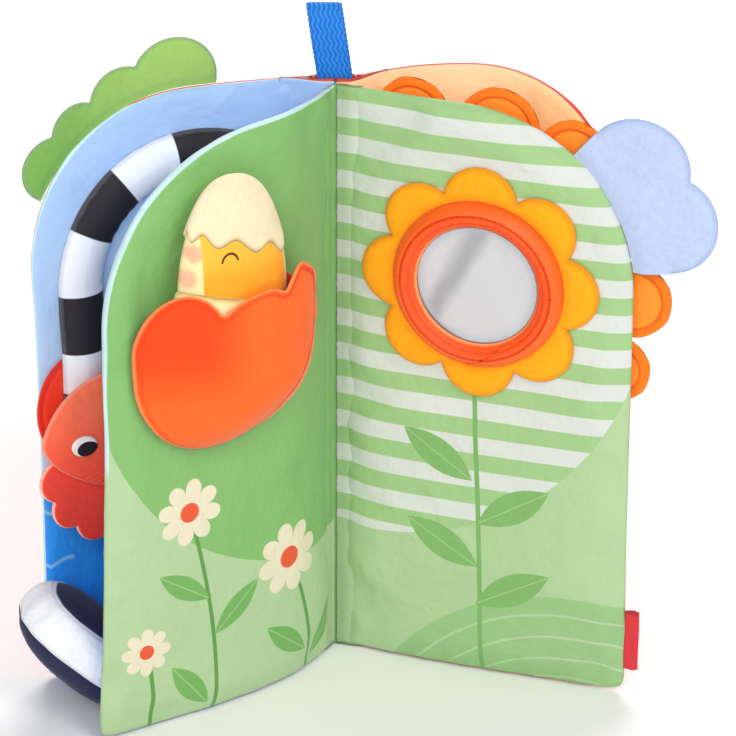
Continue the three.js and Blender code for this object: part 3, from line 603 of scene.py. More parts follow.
# Short plush: a dense pile 1 mm long that lies in small clumps and catches light on its tips.
graph, given, result = new_group(
    "short_plush", {"Place": "Vector", "Pile": "Float"}, {"Shade": "Float", "Height": "Float"}
)
tips = graph.noise(given["Place"], 1.35, 3, 0.7)
clumps = graph.noise(given["Place"], 0.42, 3, 0.6)
sweep = graph.noise(given["Place"], 0.06, 2, 0.5)
pile = tips * 0.35 + clumps * 0.65
graph.feed(result["Height"], pile * given["Pile"])
# Painted highlight: the tip noise lightens the tone where the pile tips catch light; the clumps and the broad
# sweep vary it at random.
tone = clumps * 0.22 + tips * 0.14
tone = tone + sweep * 0.16
graph.feed(result["Shade"], tone + 0.74)

# Sewing: a row of stitches a little inside an edge. The thread sinks a groove into the cloth.
graph, given, result = new_group(
    "stitch_row",
    {"Distance": "Float", "Run": "Float", "Inset": "Float", "Pitch": "Float"},
    {"Thread": "Float", "Height": "Float"},
)
off = abs(given["Distance"] - given["Inset"])
line = graph.fall(off, 0.12, 0.34)
phase = graph.maths("FRACT", given["Run"] / given["Pitch"])
thread = line * graph.between(phase, 0.1, 0.78, 0.08)
graph.feed(result["Thread"], thread)
groove = graph.fall(off, 0.0, 1.3)
graph.feed(result["Height"], groove * -0.38 + thread * 0.16)

# Printed motifs: a disc, a leaf shape between two arcs, a round flower seen from above and a stem.
graph, given, result = new_group(
    "print_disc", {"Place": "Vector", "Centre": "Vector", "Radius": "Float"}, {"Mask": "Float"}
)
flat = graph.offset(given["Place"], given["Centre"])
graph.feed(result["Mask"], graph.lift(given["Radius"] - graph.vector("LENGTH", flat), -0.12, 0.12))

graph, given, result = new_group(
    "print_leaf",
    {"Place": "Vector", "Centre": "Vector", "Turn": "Float", "Half Length": "Float", "Half Width": "Float"},
    {"Mask": "Float", "Vein": "Float"},
)
turning = {"Vector": graph.offset(given["Place"], given["Centre"]), "Angle": given["Turn"]}
turned = graph.node("ShaderNodeVectorRotate", turning, rotation_type="Z_AXIS", invert=True)
lengthways, sideways, _ = graph.split(turned)
share = lengthways / given["Half Length"]
room = (1 - share * share) * given["Half Width"] - abs(sideways)
graph.feed(result["Mask"], graph.lift(room, -0.1, 0.12))
graph.feed(result["Vein"], graph.fall(abs(sideways), 0.1, 0.32) * graph.lift(room, 0.2, 0.6))

graph, given, result = new_group(
    "print_bloom",
    {"Place": "Vector", "Centre": "Vector", "Radius": "Float", "Petals": "Float", "Turn": "Float"},
    {"Petal": "Float", "Eye": "Float"},
)
flat = graph.offset(given["Place"], given["Centre"])
reach = graph.vector("LENGTH", flat) / given["Radius"]
x, y, _ = graph.split(flat)
angle = graph.maths("ARCTAN2", y, x) + given["Turn"]
wave = abs(graph.maths("COSINE", angle * (given["Petals"] * 0.5)))
limit = graph.maths("MULTIPLY_ADD", wave ** 0.5, 0.45, 0.55)
graph.feed(result["Petal"], graph.lift(limit - reach, -0.015, 0.02))
graph.feed(result["Eye"], graph.lift(0.3 - reach, -0.015, 0.02))

graph, given, result = new_group(
    "print_stem",
    {"Place": "Vector", "Foot": "Vector", "Rise": "Float", "Lean": "Float", "Half Width": "Float"},
    {"Mask": "Float"},
)
x, y, _ = graph.split(graph.vector("SUBTRACT", given["Place"], given["Foot"]))
share = y / given["Rise"]
off = abs(x - share * share * given["Lean"])
line = graph.lift(given["Half Width"] - off, -0.1, 0.1)
ends = graph.lift(share, -0.01, 0.0) * graph.fall(share, 1.0, 1.01)
graph.feed(result["Mask"], line * ends)


def painted_material(name, paint, weave, grain, roughness, sheen, sheen_roughness):
    """A material whose paint call draws the colour from the piece's own place, in millimetres, and
    gives any height of its own, such as a row of stitches. The weave group adds tone and relief."""
    material = bpy.data.materials.new(name)
    material.use_nodes = True
    graph = Graph(material.node_tree)
    shader = material.node_tree.nodes["Principled BSDF"]
    place = graph.node("ShaderNodeAttribute", {}, 1, attribute_name="place")
    spot = place
    if weave == "short_plush":
        own = graph.node("ShaderNodeTexCoord", {}, "Object")
        spot = graph.node("ShaderNodeVectorMath", {0: own, "Scale": 1 / MM}, operation="SCALE")
    colour, extra = paint(graph, place)
    tone, relief = graph.group(weave, {"Place": spot, **grain}, ("Shade", "Height"))
    toned = graph.node("ShaderNodeVectorMath", {0: colour, "Scale": tone}, operation="SCALE")
    graph.feed(shader.inputs["Base Color"], toned)
    if extra is not None:
        relief = relief + extra
    graph.feed(shader.inputs["Normal"], graph.node("ShaderNodeBump", {"Height": relief, "Distance": MM}))
    shader.inputs["Roughness"].default_value = roughness
    shader.inputs["Sheen Weight"].default_value = sheen
    shader.inputs["Sheen Roughness"].default_value = sheen_roughness
    return material


def cloth_material(name, paint, roughness=0.62, sheen=0.12, creases=1.0):
    """A woven cloth material."""
    return painted_material(name, paint, "woven_cloth", {"Creases": creases}, roughness, sheen, 0.4)


def plush_material(name, paint, pile=0.5, sheen=0.2, roughness=0.9):
    """A short pile material."""
    return painted_material(name, paint, "short_plush", {"Pile": pile}, roughness, sheen, 0.35)


def print_hill(graph, place, along, height, radius):
    """Where a printed disc of the given centre and radius lies, all in millimetres."""
    inputs = {"Place": place, "Centre": (along, height, 0), "Radius": radius}
    return graph.group("print_disc", inputs, "Mask")


def print_stems(graph, place, colour, code, half_width, stems):
    """Stems over a colour; each is its foot along the leaf, its rise and its lean."""
    for foot, rise, lean in stems:
        inputs = {"Place": place, "Foot": (foot, 0, 0), "Rise": rise, "Lean": lean}
        inputs["Half Width"] = half_width
        colour = graph.mix(graph.group("print_stem", inputs, "Mask"), colour, shade(code))
    return colour


def print_leaves(graph, place, colour, codes, half_length, half_width, leaves):
    """Leaves with a vein over a colour; each is its centre along and up, and its turn."""
    for along, height, turn in leaves:
        inputs = {"Place": place, "Centre": (along, height, 0), "Turn": turn}
        inputs.update({"Half Length": half_length, "Half Width": half_width})
        for mask, code in zip(graph.group("print_leaf", inputs, ("Mask", "Vein")), codes):
            colour = graph.mix(mask, colour, shade(code))
    return colour


# Left page: green with a darker round hill, strewn with simple top-view flowers on curved stems.
LEFT_STEMS = [(24, 54, 12), (68, 86, 12), (93, 34, 4)]
LEFT_LEAVES = [(37, 20, 0.7), (14, 16, 2.2), (60, 42, 2.4), (82, 56, 0.6), (79, 15, 0.9)]
LEFT_BLOOMS = [(36, 54, 14.5, 0.2), (80, 86, 13.0, 0.6), (97, 34, 9.5, 0.0)]


def left_page_print(graph, place):
    colour = graph.mix(print_hill(graph, place, 17, 152, 100), shade("B0CD9A"), shade("82B96A"))
    colour = print_stems(graph, place, colour, "5A9946", 0.8, LEFT_STEMS)
    colour = print_leaves(graph, place, colour, ("72AF59", "A0C688"), 12.5, 4.4, LEFT_LEAVES)
    for along, height, radius, turn in LEFT_BLOOMS:
        inputs = {"Place": place, "Centre": (along, height, 0), "Radius": radius, "Petals": 8, "Turn": turn}
        petal, eye = graph.group("print_bloom", inputs, ("Petal", "Eye"))
        colour = graph.mix(petal, colour, shade("E8E0C2"))
        colour = graph.mix(eye, colour, shade("E7552B"))
    _, height, inside = graph.split(place)
    reverse = graph.fall(inside, 1.7, 2.0) * graph.lift(height, 104, 112)
    return graph.mix(reverse, colour, shade("C8E6E9")), None


# Right page: green with a striped round field at its top, a dashed seam and painted shade at the fold, and
# below the sewn-on flower a printed stem with alternate leaves over a low hill.
STRIPE_PITCH = 13.75
STRIPE_FIRST = 219.4
STRIPES_COUNTED = 20
FURROW_PITCH = 9
RIGHT_HILL = (92, -46)
RIGHT_LEAVES = [(70, 38, 0.5), (43, 54, 2.6), (70, 72, 0.55), (41, 90, 2.55)]


def right_page_print(graph, place):
    along, height, _ = graph.split(place)
    phase = (STRIPE_FIRST + STRIPES_COUNTED * STRIPE_PITCH - height) / STRIPE_PITCH
    stripe = graph.fall(abs(graph.maths("FRACT", phase + 0.5) - 0.5), 0.235, 0.265)
    field = print_hill(graph, place, 12, 160, 106)
    striped = graph.mix(stripe, shade("9EC584"), shade("D5DBD3"))
    colour = graph.mix(field, shade("ACCA96"), striped)
    hill = print_hill(graph, place, *RIGHT_HILL, 84)
    colour = graph.mix(hill, colour, shade("95BF7E"))
    from_top = graph.vector("DISTANCE", graph.vector("MULTIPLY", place, (1, 1, 0)), (*RIGHT_HILL, 0))
    furrow = abs(graph.maths("FRACT", from_top / FURROW_PITCH) - 0.5)
    colour = graph.mix(graph.fall(furrow, 0.04, 0.07) * hill, colour, shade("ACCD97"))
    colour = print_stems(graph, place, colour, "77B05E", 0.9, [(58, 118, -4)])
    colour = print_leaves(graph, place, colour, ("7EB264", "A1C889"), 16, 6.2, RIGHT_LEAVES)
    sewing = {"Distance": along, "Run": height, "Inset": 1.0, "Pitch": 3.5}
    thread, dip = graph.group("stitch_row", sewing, ("Thread", "Height"))
    # Painted shade: the colour darkens towards the fold, over about 9 mm from it.
    shaded = graph.vector("MULTIPLY", colour, (0.5, 0.54, 0.48))
    colour = graph.mix(graph.fall(along, -2, 9) * 0.9, colour, shaded)
    return graph.mix(thread, colour, shade("517A3C")), dip


# Left cover: hazy sky over a blue sea with plain wave ticks. The left page has the same sky on its
# back. A thin pale piping edges both.
SEA_LEVEL = 83
WAVE_ROW, WAVE_COLUMN = 22, 31.4


def sky_print(graph, place):
    along, height, inside = graph.split(place)
    level = graph.lift(height, 60, 235)
    haze = graph.noise(graph.vector("MULTIPLY", place, (1, 2.2, 0)), 0.02, 2, 0.5)
    sky = graph.mix(level * 0.55 + haze * 0.45, shade("C9E0FA"), shade("9BBFED"))
    sea_level = graph.maths("SINE", along * 0.11) * 1.6 + SEA_LEVEL
    sea = graph.lift(sea_level - height, -0.2, 0.2)
    colour = graph.mix(sea, sky, shade("2A9EFF"))
    row = graph.maths("FRACT", (height + 6) / WAVE_ROW)
    bend = abs(graph.maths("SINE", along * 0.2)) * 0.14
    column = graph.maths("FRACT", (along + 5) / WAVE_COLUMN)
    tick = graph.between(row - bend, 0.4, 0.47, 0.012) * graph.between(column, 0.35, 0.75, 0.02) * sea
    colour = graph.mix(tick, colour, shade("8CCBF5"))
    colour = graph.mix(graph.fall(inside, 0.9, 1.2), colour, shade("D2F1F4"))
    turned = graph.fall(inside, 0.5, 0.8) * graph.lift(height, 224, 226)
    return graph.mix(turned, colour, shade("E2564C")), None


# Right cover: plain peach with a yellow glow towards the free edge and red piping.
def peach_print(graph, place):
    along, height, inside = graph.split(place)
    colour = graph.mix(graph.lift(along + height * 0.1, 60, 140), shade("FCDBAB"), shade("FCD58A"))
    return graph.mix(graph.fall(inside, 0.7, 1.0), colour, shade("E2483A")), None


# Outer covers and spine: red with a staggered pattern of cream dots.
DOT_COLUMN, DOT_ROW = 20, 17


def cover_print(graph, place):
    along, height, _ = graph.split(place)
    shift = graph.maths("MODULO", graph.maths("FLOOR", height / DOT_ROW), 2) * 0.5
    cell_x = (graph.maths("FRACT", along / DOT_COLUMN + shift) - 0.5) * DOT_COLUMN
    cell_y = (graph.maths("FRACT", height / DOT_ROW) - 0.5) * DOT_ROW
    dot = graph.fall((cell_x * cell_x + cell_y * cell_y) ** 0.5, 3.1, 3.4)
    return graph.mix(dot, shade("D8433C"), shade("F6E7C8")), None


left_page_cloth = cloth_material("left_page_print", left_page_print)
right_page_cloth = cloth_material("right_page_print", right_page_print)
sky_cloth = cloth_material("sky_print", sky_print)
peach_cloth = cloth_material("peach_print", peach_print)
cover_cloth = cloth_material("cover_print", cover_print)

# Under the sewn-on pieces the leaves stay flat, in ovals given in millimetres.
left_page_ovals = [(60, 139, 43, 38), (67, 175, 30, 44)]
right_page_ovals = [(53.8, 160, 48, 48)]
sun_ovals = [
    (30, 212, 22, 20), (60, 212, 22, 20), (88, 205, 20, 20),
    (103, 185, 18, 20), (106, 158, 20, 20), (102, 130, 18, 18),
]
left_cover_ovals = [(90, 165, 24, 60), (60, 200, 52, 22), (86, 96, 40, 40), (95, 30, 36, 34)]
padded_leaf("left_page", 1, left_page_ovals, [], left_page_cloth, sky_cloth)
padded_leaf("right_page", 2, right_page_ovals, sun_ovals, right_page_cloth, peach_cloth)
padded_leaf("left_cover", 3, left_cover_ovals, [], sky_cloth, cover_cloth)
padded_leaf("right_cover", 4, [], [], peach_cloth, cover_cloth)

# Sewn-on pieces
# Each is a closed soft skin on a leaf: an outline, a middle plane and a thickness that rounds off
# to nothing at the rim, so that its edge looks turned and sewn.


def outline_distance(along, height, outline, out=None):
    """How far each place lies from a closed outline: the least distance to its straight spans. With
    heights out of the leaf given for the places, the outline has them too."""
    start, way = outline, np.roll(outline, -1, axis=0) - outline
    length = np.maximum(np.sum(way**2, -1), 1e-18)
    given = (along, height) if out is None else (along, height, out)
    spot = np.stack([values.ravel() for values in given], -1)
    nearest = np.full(len(spot), np.inf)
    for first, span, square in zip(start, way, length):
        share = np.clip(((spot - first) @ span) / square, 0, 1)
        nearest = np.minimum(nearest, np.linalg.norm(spot - first - share[:, None] * span, axis=-1))
    return nearest.reshape(along.shape)


def round_rim(distance, width):
    """A quarter-round rise from nothing at the rim to one, over the given width."""
    share = np.clip(distance / width, 0, 1)
    return np.sqrt(1 - (1 - share) ** 2)


def spoke_grid(centre, reach, spokes, rings):
    """Places on rings round a centre, closer together towards the rim."""
    angle = np.linspace(0, 2 * np.pi, spokes, endpoint=False)[:, None]
    share = np.sin(np.linspace(0, np.pi / 2, rings)) ** 0.9
    radius = reach(angle) * share[None, :]
    return centre[0] + radius * np.cos(angle), centre[1] + radius * np.sin(angle)


def lobe_reach(angle, lobes):
    """The farthest of several round lobes in each direction; each is its centre and radius."""
    farthest = np.zeros(np.shape(angle))
    for lobe_along, lobe_height, radius in lobes:
        forward = lobe_along * np.cos(angle) + lobe_height * np.sin(angle)
        aside = lobe_height * np.cos(angle) - lobe_along * np.sin(angle)
        reach = forward + np.sqrt(np.maximum(radius**2 - aside**2, 0))
        farthest = np.maximum(farthest, np.where(np.abs(aside) < radius, reach, 0))
    return farthest


def rim_distance(along, height):
    """How far each place of a spoke grid lies from the grid's rim."""
    return outline_distance(along, height, np.stack([along[:, -1], height[:, -1]], -1))


def sewn_skin(name, leaf, along, height, distance, low, high, material, wrap=True):
    """A closed skin between a low and a high face over one grid of places on a leaf."""
    faces = grid_faces(*along.shape, wrap_rows=wrap)
    points = np.concatenate([leaf_point(leaf, along, height, face).reshape(-1, 3) for face in (high, low)])
    place = np.stack([along / MM, height / MM, distance / MM], -1).reshape(-1, 3)
    both = np.concatenate([faces, faces[:, ::-1] + along.size])
    return make_piece(name, points, both, np.concatenate([place, place]), [material])


def plain(code, sewn=None, thread=None):
    """A paint of one colour which, where a second is given, turns to it over the last 2.6 mm to its rim, with
    a row of stitches in relief at a depth where given.
    """

    def paint(graph, place):
        along, height, distance = graph.split(place)
        # Over the last 2.6 mm to the rim the colour turns to the one passed as thread.
        colour = graph.mix(graph.lift(distance, 0.0, 2.6), shade(thread or code), shade(code))
        if sewn is None:
            return colour, None
        sewing = {"Distance": distance, "Run": along + height, "Inset": sewn, "Pitch": 2.6}
        return colour, graph.group("stitch_row", sewing, ("Thread", "Height"))[1]

    return paint


# Tulip pocket: a flat back and a bulging front of orange plush with three petals at the mouth. The
# front's edge is bound by a narrow rolled rim, sewn down 2.6 mm inside it.
FLEECE_THICKNESS = 0.0012
POCKET_BULGE = 0.0189
POCKET_BULGE_ALONG = 0.066
POCKET_FLAT_SHARE = 0.06
POCKET_RISE_RUN = 0.026
TULIP_LEFT, TULIP_RIGHT, TULIP_LOW, TULIP_TOP = 0.1036, 0.0222, 0.1104, 0.179
TULIP_WIDE, TULIP_TALL = TULIP_LEFT - TULIP_RIGHT, TULIP_TOP - TULIP_LOW
# The lower edge and the petals, as shares of the tulip's width from the right and of its height.
TULIP_FOOT = np.array([
    (0.0, 0.5627), (0.0405, 0.3732), (0.1155, 0.2085), (0.2678, 0.0816), (0.4349, 0.0277), (0.5749, 0.0),
    (0.7162, 0.0204), (0.8452, 0.1035), (0.9435, 0.2566), (0.9902, 0.4169), (1.0, 0.5845),
])
LEFT_PETAL, LEFT_PETAL_HALF = (0.8133, 0.621), (0.1867, 0.379)
MIDDLE_PETAL, MIDDLE_PETAL_HALF = (0.4644, 0.7741), ((0.1413, 0.2334), 0.1822)
TULIP_TIP, TIP_HEIGHT = 0.28, 1.05
TIP_ROOT, ROOT_HEIGHT = 0.398, 0.85
TIP_SOFTNESS = 0.0025


def through_points(places, heights, at):
    """A smooth curve through points: on each span a cubic whose end slopes are the slopes between
    the neighbours of its ends."""
    last = len(places) - 1
    span = np.clip(np.searchsorted(places, at, side="right") - 1, 0, last - 1)
    low, high = np.maximum(np.arange(last + 1) - 1, 0), np.minimum(np.arange(last + 1) + 1, last)
    slopes = (heights[high] - heights[low]) / (places[high] - places[low])
    width = places[span + 1] - places[span]
    s = np.clip((at - places[span]) / width, 0, 1)
    return (
        heights[span] * (2 * s**3 - 3 * s**2 + 1) + heights[span + 1] * (3 * s**2 - 2 * s**3)
        + slopes[span] * width * (s**3 - 2 * s**2 + s) + slopes[span + 1] * width * (s**3 - s**2)
    )


def tulip_level(share):
    """Height up the leaf of a share of the tulip's own height."""
    return TULIP_LOW + TULIP_TALL * share


def tulip_foot(share):
    """Lower edge of the tulip, as a height, at a share of its width from the right."""
    return tulip_level(through_points(TULIP_FOOT[:, 0], TULIP_FOOT[:, 1], share))


def tulip_head(share):
    """Upper edge of the tulip: the highest of the left petal's half oval, the middle petal's half
    circle and the pointed right petal."""

    def half_oval(centre, half_width, half_height):
        off = (share - centre[0]) / half_width
        rise = np.sqrt(np.maximum(1 - off**2, 0))
        return np.where(np.abs(off) < 1, tulip_level(centre[1] + half_height * rise), 0)

    left = half_oval(LEFT_PETAL, *LEFT_PETAL_HALF)
    (right_half, left_half), tall = MIDDLE_PETAL_HALF
    middle = half_oval(MIDDLE_PETAL, np.where(share > MIDDLE_PETAL[0], left_half, right_half), tall)
    inward = (share - TULIP_TIP) / (TIP_ROOT - TULIP_TIP)
    slope = tulip_level(TIP_HEIGHT + (ROOT_HEIGHT - TIP_HEIGHT) * inward)
    side = tulip_foot(0)
    flank = side + (tulip_level(TIP_HEIGHT) - side) * np.maximum(share / TULIP_TIP, 0) ** 0.5
    tip = -TIP_SOFTNESS * np.logaddexp(-slope / TIP_SOFTNESS, -flank / TIP_SOFTNESS)
    return np.maximum.reduce([left, middle, np.where(inward > 1, 0, tip), tulip_foot(share)])


# How far up the pocket's side its bound edge stands, in millimetres, by the direction in degrees from
# the fold: the stuffing rolls it up on the fold side.
POCKET_WALL = [
    (-100, 0), (-80, 2.5), (-60, 6), (-45, 9.5), (-30, 14.5), (-15, 17),
    (0, 18), (15, 17.5), (30, 12), (42, 5), (52, 0),
]
TULIP_COLUMNS = 130
TULIP_ROWS = 44
across = 0.5 - 0.5 * np.cos(np.linspace(0, np.pi, TULIP_COLUMNS))[:, None]
up = np.linspace(0, 1, TULIP_ROWS)[None, :]
tulip_along = np.broadcast_to(TULIP_RIGHT + TULIP_WIDE * across, (TULIP_COLUMNS, TULIP_ROWS))
tulip_height = tulip_foot(across) + up * (tulip_head(across) - tulip_foot(across))
tulip_outline = np.concatenate([
    np.stack([tulip_along[:, 0], tulip_height[:, 0]], -1),
    np.stack([tulip_along[::-1, -1], tulip_height[::-1, -1]], -1),
])
tulip_rim = outline_distance(tulip_along, tulip_height, tulip_outline)


def tulip_paint(graph, place):
    along, height, distance = graph.split(place)
    left_petal = graph.lift(along, 60, 84) * graph.lift(height, 128, 156)
    colour = graph.mix(left_petal, shade("FF6A1C"), shade("FF4600"))
    # Painted shade in the sewn groove 2.5 mm inside the edge, stronger towards the fold.
    groove = graph.fall(abs(distance - 2.5), 0.2, 1.4)
    near_fold = graph.maths("MULTIPLY_ADD", graph.fall(along, 34, 70), 0.55, 0.45)
    colour = graph.mix(groove * near_fold, colour, shade("EA3600"))
    return graph.mix(graph.fall(distance, 0.8, 1.3) * 0.8, colour, shade("FF9050")), None


tulip_plush = plush_material("tulip_fleece", tulip_paint, 0.35)
# The pocket's back is orange plush, painted darker as shade inside the pocket.
tulip_shadow = plush_material("tulip_back_painted_shade", plain("D63A06"), 0.35)
page = LEAVES["left_page"]
back_low = FACE + REST_GAP
back_high = back_low + FLEECE_THICKNESS
half = FLEECE_THICKNESS / 2 * round_rim(tulip_rim, 0.0008)
middle_out = (back_low + back_high) / 2
back_share = np.where(across > 0.3, 0.55, 0.88)
back_height = tulip_foot(across) + up * (tulip_head(across) - tulip_foot(across)) * back_share
back_along = tulip_along - 0.0025 * np.clip((tulip_along - 0.08) / (TULIP_LEFT - 0.08), 0, 1)
tulip_back = sewn_skin(
    "tulip_back", page, back_along, back_height, tulip_rim, middle_out - half, middle_out + half,
    tulip_shadow, wrap=False,
)
fasten(tulip_back, ["tulip_pocket_back"], "left_page")

flat_end = TULIP_RIGHT + POCKET_FLAT_SHARE * TULIP_WIDE
towards_edge = tulip_along > POCKET_BULGE_ALONG
bow_side = np.where(towards_edge, TULIP_LEFT, flat_end) - POCKET_BULGE_ALONG
bow_power = np.where(towards_edge, 0.8, 0.6)
bow = (1 - np.minimum((tulip_along - POCKET_BULGE_ALONG) / bow_side, 1) ** 2) ** bow_power
pocket_rise = POCKET_BULGE * bow * ease_out((tulip_height - tulip_foot(across)) / POCKET_RISE_RUN)
low_edge, high_edge = (
    np.stack([tulip_along[:, k], tulip_height[:, k], pocket_rise[:, k]], -1) for k in (0, -1)
)
at_tip = np.searchsorted(across[:, 0], TULIP_TIP)
sewn_edge = np.concatenate([high_edge[at_tip::-1], low_edge])
mouth_edge = np.concatenate([high_edge[at_tip:], low_edge[-1:]])
sewn_run, mouth_run = (
    outline_distance(tulip_along, tulip_height, np.concatenate([edge, edge[::-1]]), pocket_rise)
    for edge in (sewn_edge, mouth_edge)
)
fold_turn = np.degrees(np.arctan2(tulip_height - 0.135, POCKET_BULGE_ALONG - tulip_along))
wall = np.interp(fold_turn, *np.array(POCKET_WALL).T) * MM
seam_run = np.minimum(mouth_run, np.maximum(sewn_run - wall, 0))
bead = 0.0005 * (bell(seam_run, 0.0012, 0.0008) - bell(seam_run, 0.0027, 0.0007))
pucker = 0.00018 * np.sin(tulip_along * 1900 + 2 * np.sin(tulip_height * 300))
pucker = pucker * bell(seam_run, 0.003, 0.002)
waves = 0.0006 * np.sin(tulip_along * 130 + 1) * np.sin(tulip_height * 90 + 0.5)
waves = waves * np.clip(tulip_rim / 0.008, 0, 1)
half = (FLEECE_THICKNESS + bead) / 2 * round_rim(tulip_rim, 0.0011)
pocket_middle = back_high + REST_GAP + pocket_rise + FLEECE_THICKNESS / 2 + waves
tulip_front = sewn_skin(
    "tulip_front", page, tulip_along, tulip_height, seam_run,
    pocket_middle - half, pocket_middle + half + pucker * round_rim(tulip_rim, 0.001),
    tulip_plush, wrap=False,
)
smooth_finish(tulip_front)
fasten(tulip_front, ["tulip_pocket_front"], "left_page")

# Egg: a plush-covered stuffed body, wider below, with a cream shell cap, a cream shell cup and the
# yolk-coloured band between them, where a sleeping eye and a soft cheek are worked in thread.
EGG_HEIGHT = 0.0755
EGG_HALF_WIDTH = 0.0224
EGG_HALF_DEPTH = 0.0076
EGG_FOOT = 0.141
EGG_ALONG = 0.0676
SHELL_THICKNESS = 0.0008
EGG_OUT = back_high + REST_GAP + SHELL_THICKNESS + REST_GAP + EGG_HALF_DEPTH


def leaf_axes(leaf, along, height, out):
    """A point of a leaf's space, and the unit ways along the leaf and out of its face there."""
    middle = leaf_point(leaf, along, height, out)
    outward = leaf_point(leaf, along, height, out + 1) - middle
    sideways = leaf_point(leaf, along + MM, height, out) - leaf_point(leaf, along - MM, height, out)
    return middle, sideways / np.linalg.norm(sideways), outward


egg_middle, egg_sideways, egg_outward = leaf_axes(page, EGG_ALONG, 0, EGG_OUT)


def egg_point(turn, share, skin):
    """The egg's surface: round in plan at each height, swelling with a power of the sine of the
    height angle and heavier below, moved outwards by a skin."""
    swell = np.sin(share * np.pi) ** 0.8 * (1 + 0.14 * np.cos(share * np.pi))
    spread = np.clip(share * (1 - share) * 30, 0, 1)
    wide = np.cos(turn) * (EGG_HALF_WIDTH * swell + skin * spread)
    deep = np.sin(turn) * (EGG_HALF_DEPTH * swell + skin * spread)
    rise = EGG_FOOT + EGG_HEIGHT * (1 - np.cos(share * np.pi)) / 2 - skin * np.cos(share * np.pi)
    dents = 0.018 * np.sin(3 * turn + 1) * np.sin(share * 9) + 0.01 * np.sin(5 * turn) * np.sin(share * 17)
    wide, deep = wide * (1 + dents), deep * (1 + dents)
    centre = egg_middle + np.stack([np.zeros_like(rise), np.zeros_like(rise), rise], -1)
    return centre + wide[..., None] * egg_sideways + deep[..., None] * egg_outward


def egg_piece(name, material, low_share, high_share, skin, rows):
    """One layer of the egg between two edges that may wave; an edge away from a pole turns in."""
    turn = np.linspace(0, 2 * np.pi, 120, endpoint=False)[:, None]
    step = np.linspace(0, 1, rows)[None, :]
    low, high = low_share(turn), high_share(turn)
    share = np.clip(low + (high - low) * step, 0, 1)
    from_low, from_high = np.where(low > 0.01, share - low, 1), np.where(high < 0.99, high - share, 1)
    run = np.minimum(from_low, from_high) * EGG_HEIGHT * 1.3
    soft = 0.00016 * np.sin(turn * 23 + 2 * np.sin(turn * 5)) * np.exp(-run / 0.003)
    outer = egg_point(turn, share, skin * round_rim(run, 0.0016) + soft * round_rim(run, 0.0012))
    side = (outer - egg_middle) @ egg_sideways / MM
    place = np.stack([side, outer[..., 2] / MM, run / MM], -1)
    faces = grid_faces(*share.shape, wrap_rows=True)
    if np.all(low < 0.01) and np.all(high > 0.99):
        return make_piece(name, outer, faces, place, [material])
    inner = egg_point(turn, share, np.zeros_like(share))
    points = np.concatenate([outer.reshape(-1, 3), inner.reshape(-1, 3)])
    both = np.concatenate([faces, faces[:, ::-1] + share.size])
    return make_piece(name, points, both, np.concatenate([place.reshape(-1, 3)] * 2), [material])


BLUSHES = [(17.5, 193.0, 1.4, 3.6), (20.0, 184.0, 1.5, 3.9)]


def egg_face(graph, place):
    side, height, _ = graph.split(place)
    from_eye = graph.offset(place, (4.9, 187.6, 0), (1, 0.85, 0))
    arc = graph.fall(abs(graph.vector("LENGTH", from_eye) - 3.3), 0.3, 0.48)
    eye = arc * graph.lift(height, 188.2, 188.6)
    colour = graph.mix(graph.lift(height, 180, 192), shade("FFA61E"), shade("FFBE3A"))
    strip = graph.maths("MAXIMUM", graph.lift(side, 14.8, 15.6), graph.fall(side, -20.8, -20.2))
    colour = graph.mix(strip, colour, shade("F5E2A6"))
    for centre_side, centre_height, small, large in BLUSHES:
        off = graph.offset(place, (centre_side, centre_height, 0), (1, 0.8, 0))
        blush = graph.fall(graph.vector("LENGTH", off), small, large)
        colour = graph.mix(blush * 0.7, colour, shade("FF9E86"))
    return graph.mix(eye, colour, shade("5A2E12")), eye * -0.12


egg_yolk = plush_material("egg_yellow", egg_face, 0.22)
egg_shell = plush_material("egg_cream", plain("F3E3BC", thread="DFCD92"), 0.3)
egg_lower = plush_material("egg_cup_cream", plain("F9E6AC", thread="F1D483"), 0.3)
CAP_WAVE = math.radians(61.5)
SHELL_SKIN = REST_GAP + SHELL_THICKNESS


def cap_edge(turn):
    """Height share of the cap's wavy edge: eight waves, lower towards the fold."""
    return 0.6225 + 0.0565 * np.cos(turn) - 0.017 * np.cos(8 * (turn - CAP_WAVE))


def cup_edge(turn):
    """Height share of the cup's edge, lower towards the fold."""
    return 0.458 + 0.045 * np.cos(turn) + 0.004 * np.sin(3 * turn)


egg_body = egg_piece("egg_stuffing", egg_yolk, np.zeros_like, np.ones_like, 0.0, 60)
egg_cap = egg_piece("egg_cap", egg_shell, cap_edge, np.ones_like, SHELL_SKIN, 30)
egg_cup = egg_piece("egg_cup", egg_lower, np.zeros_like, cup_edge, SHELL_SKIN, 30)
for piece, node in ((egg_body, "egg_body"), (egg_cap, "egg_shell_cap"), (egg_cup, "egg_shell_cup")):
    fasten(piece, [node], "egg")

# Mirror flower: eight plump plush petals, a soft mirror, and a padded satin ring over its edge with
# two sewn grooves and the overlap where its ends meet.
FLOWER_PLACE = (0.0556, 0.1606)
FELT_THICKNESS = 0.0015
PETAL_OUT, PETAL_RADIUS, PETAL_COUNT = 0.031, 0.014, 8
RING_INNER, RING_OUTER = 0.0225, 0.0322
RING_PAD = 0.0052
MIRROR_RADIUS = 0.025
MIRROR_THICKNESS = 0.0012
page = LEAVES["right_page"]


def lobes_round(turns, out, radius):
    """Round lobes of one size whose centres lie out from the middle at the given turns."""
    return [(out * math.cos(turn), out * math.sin(turn), radius) for turn in turns]


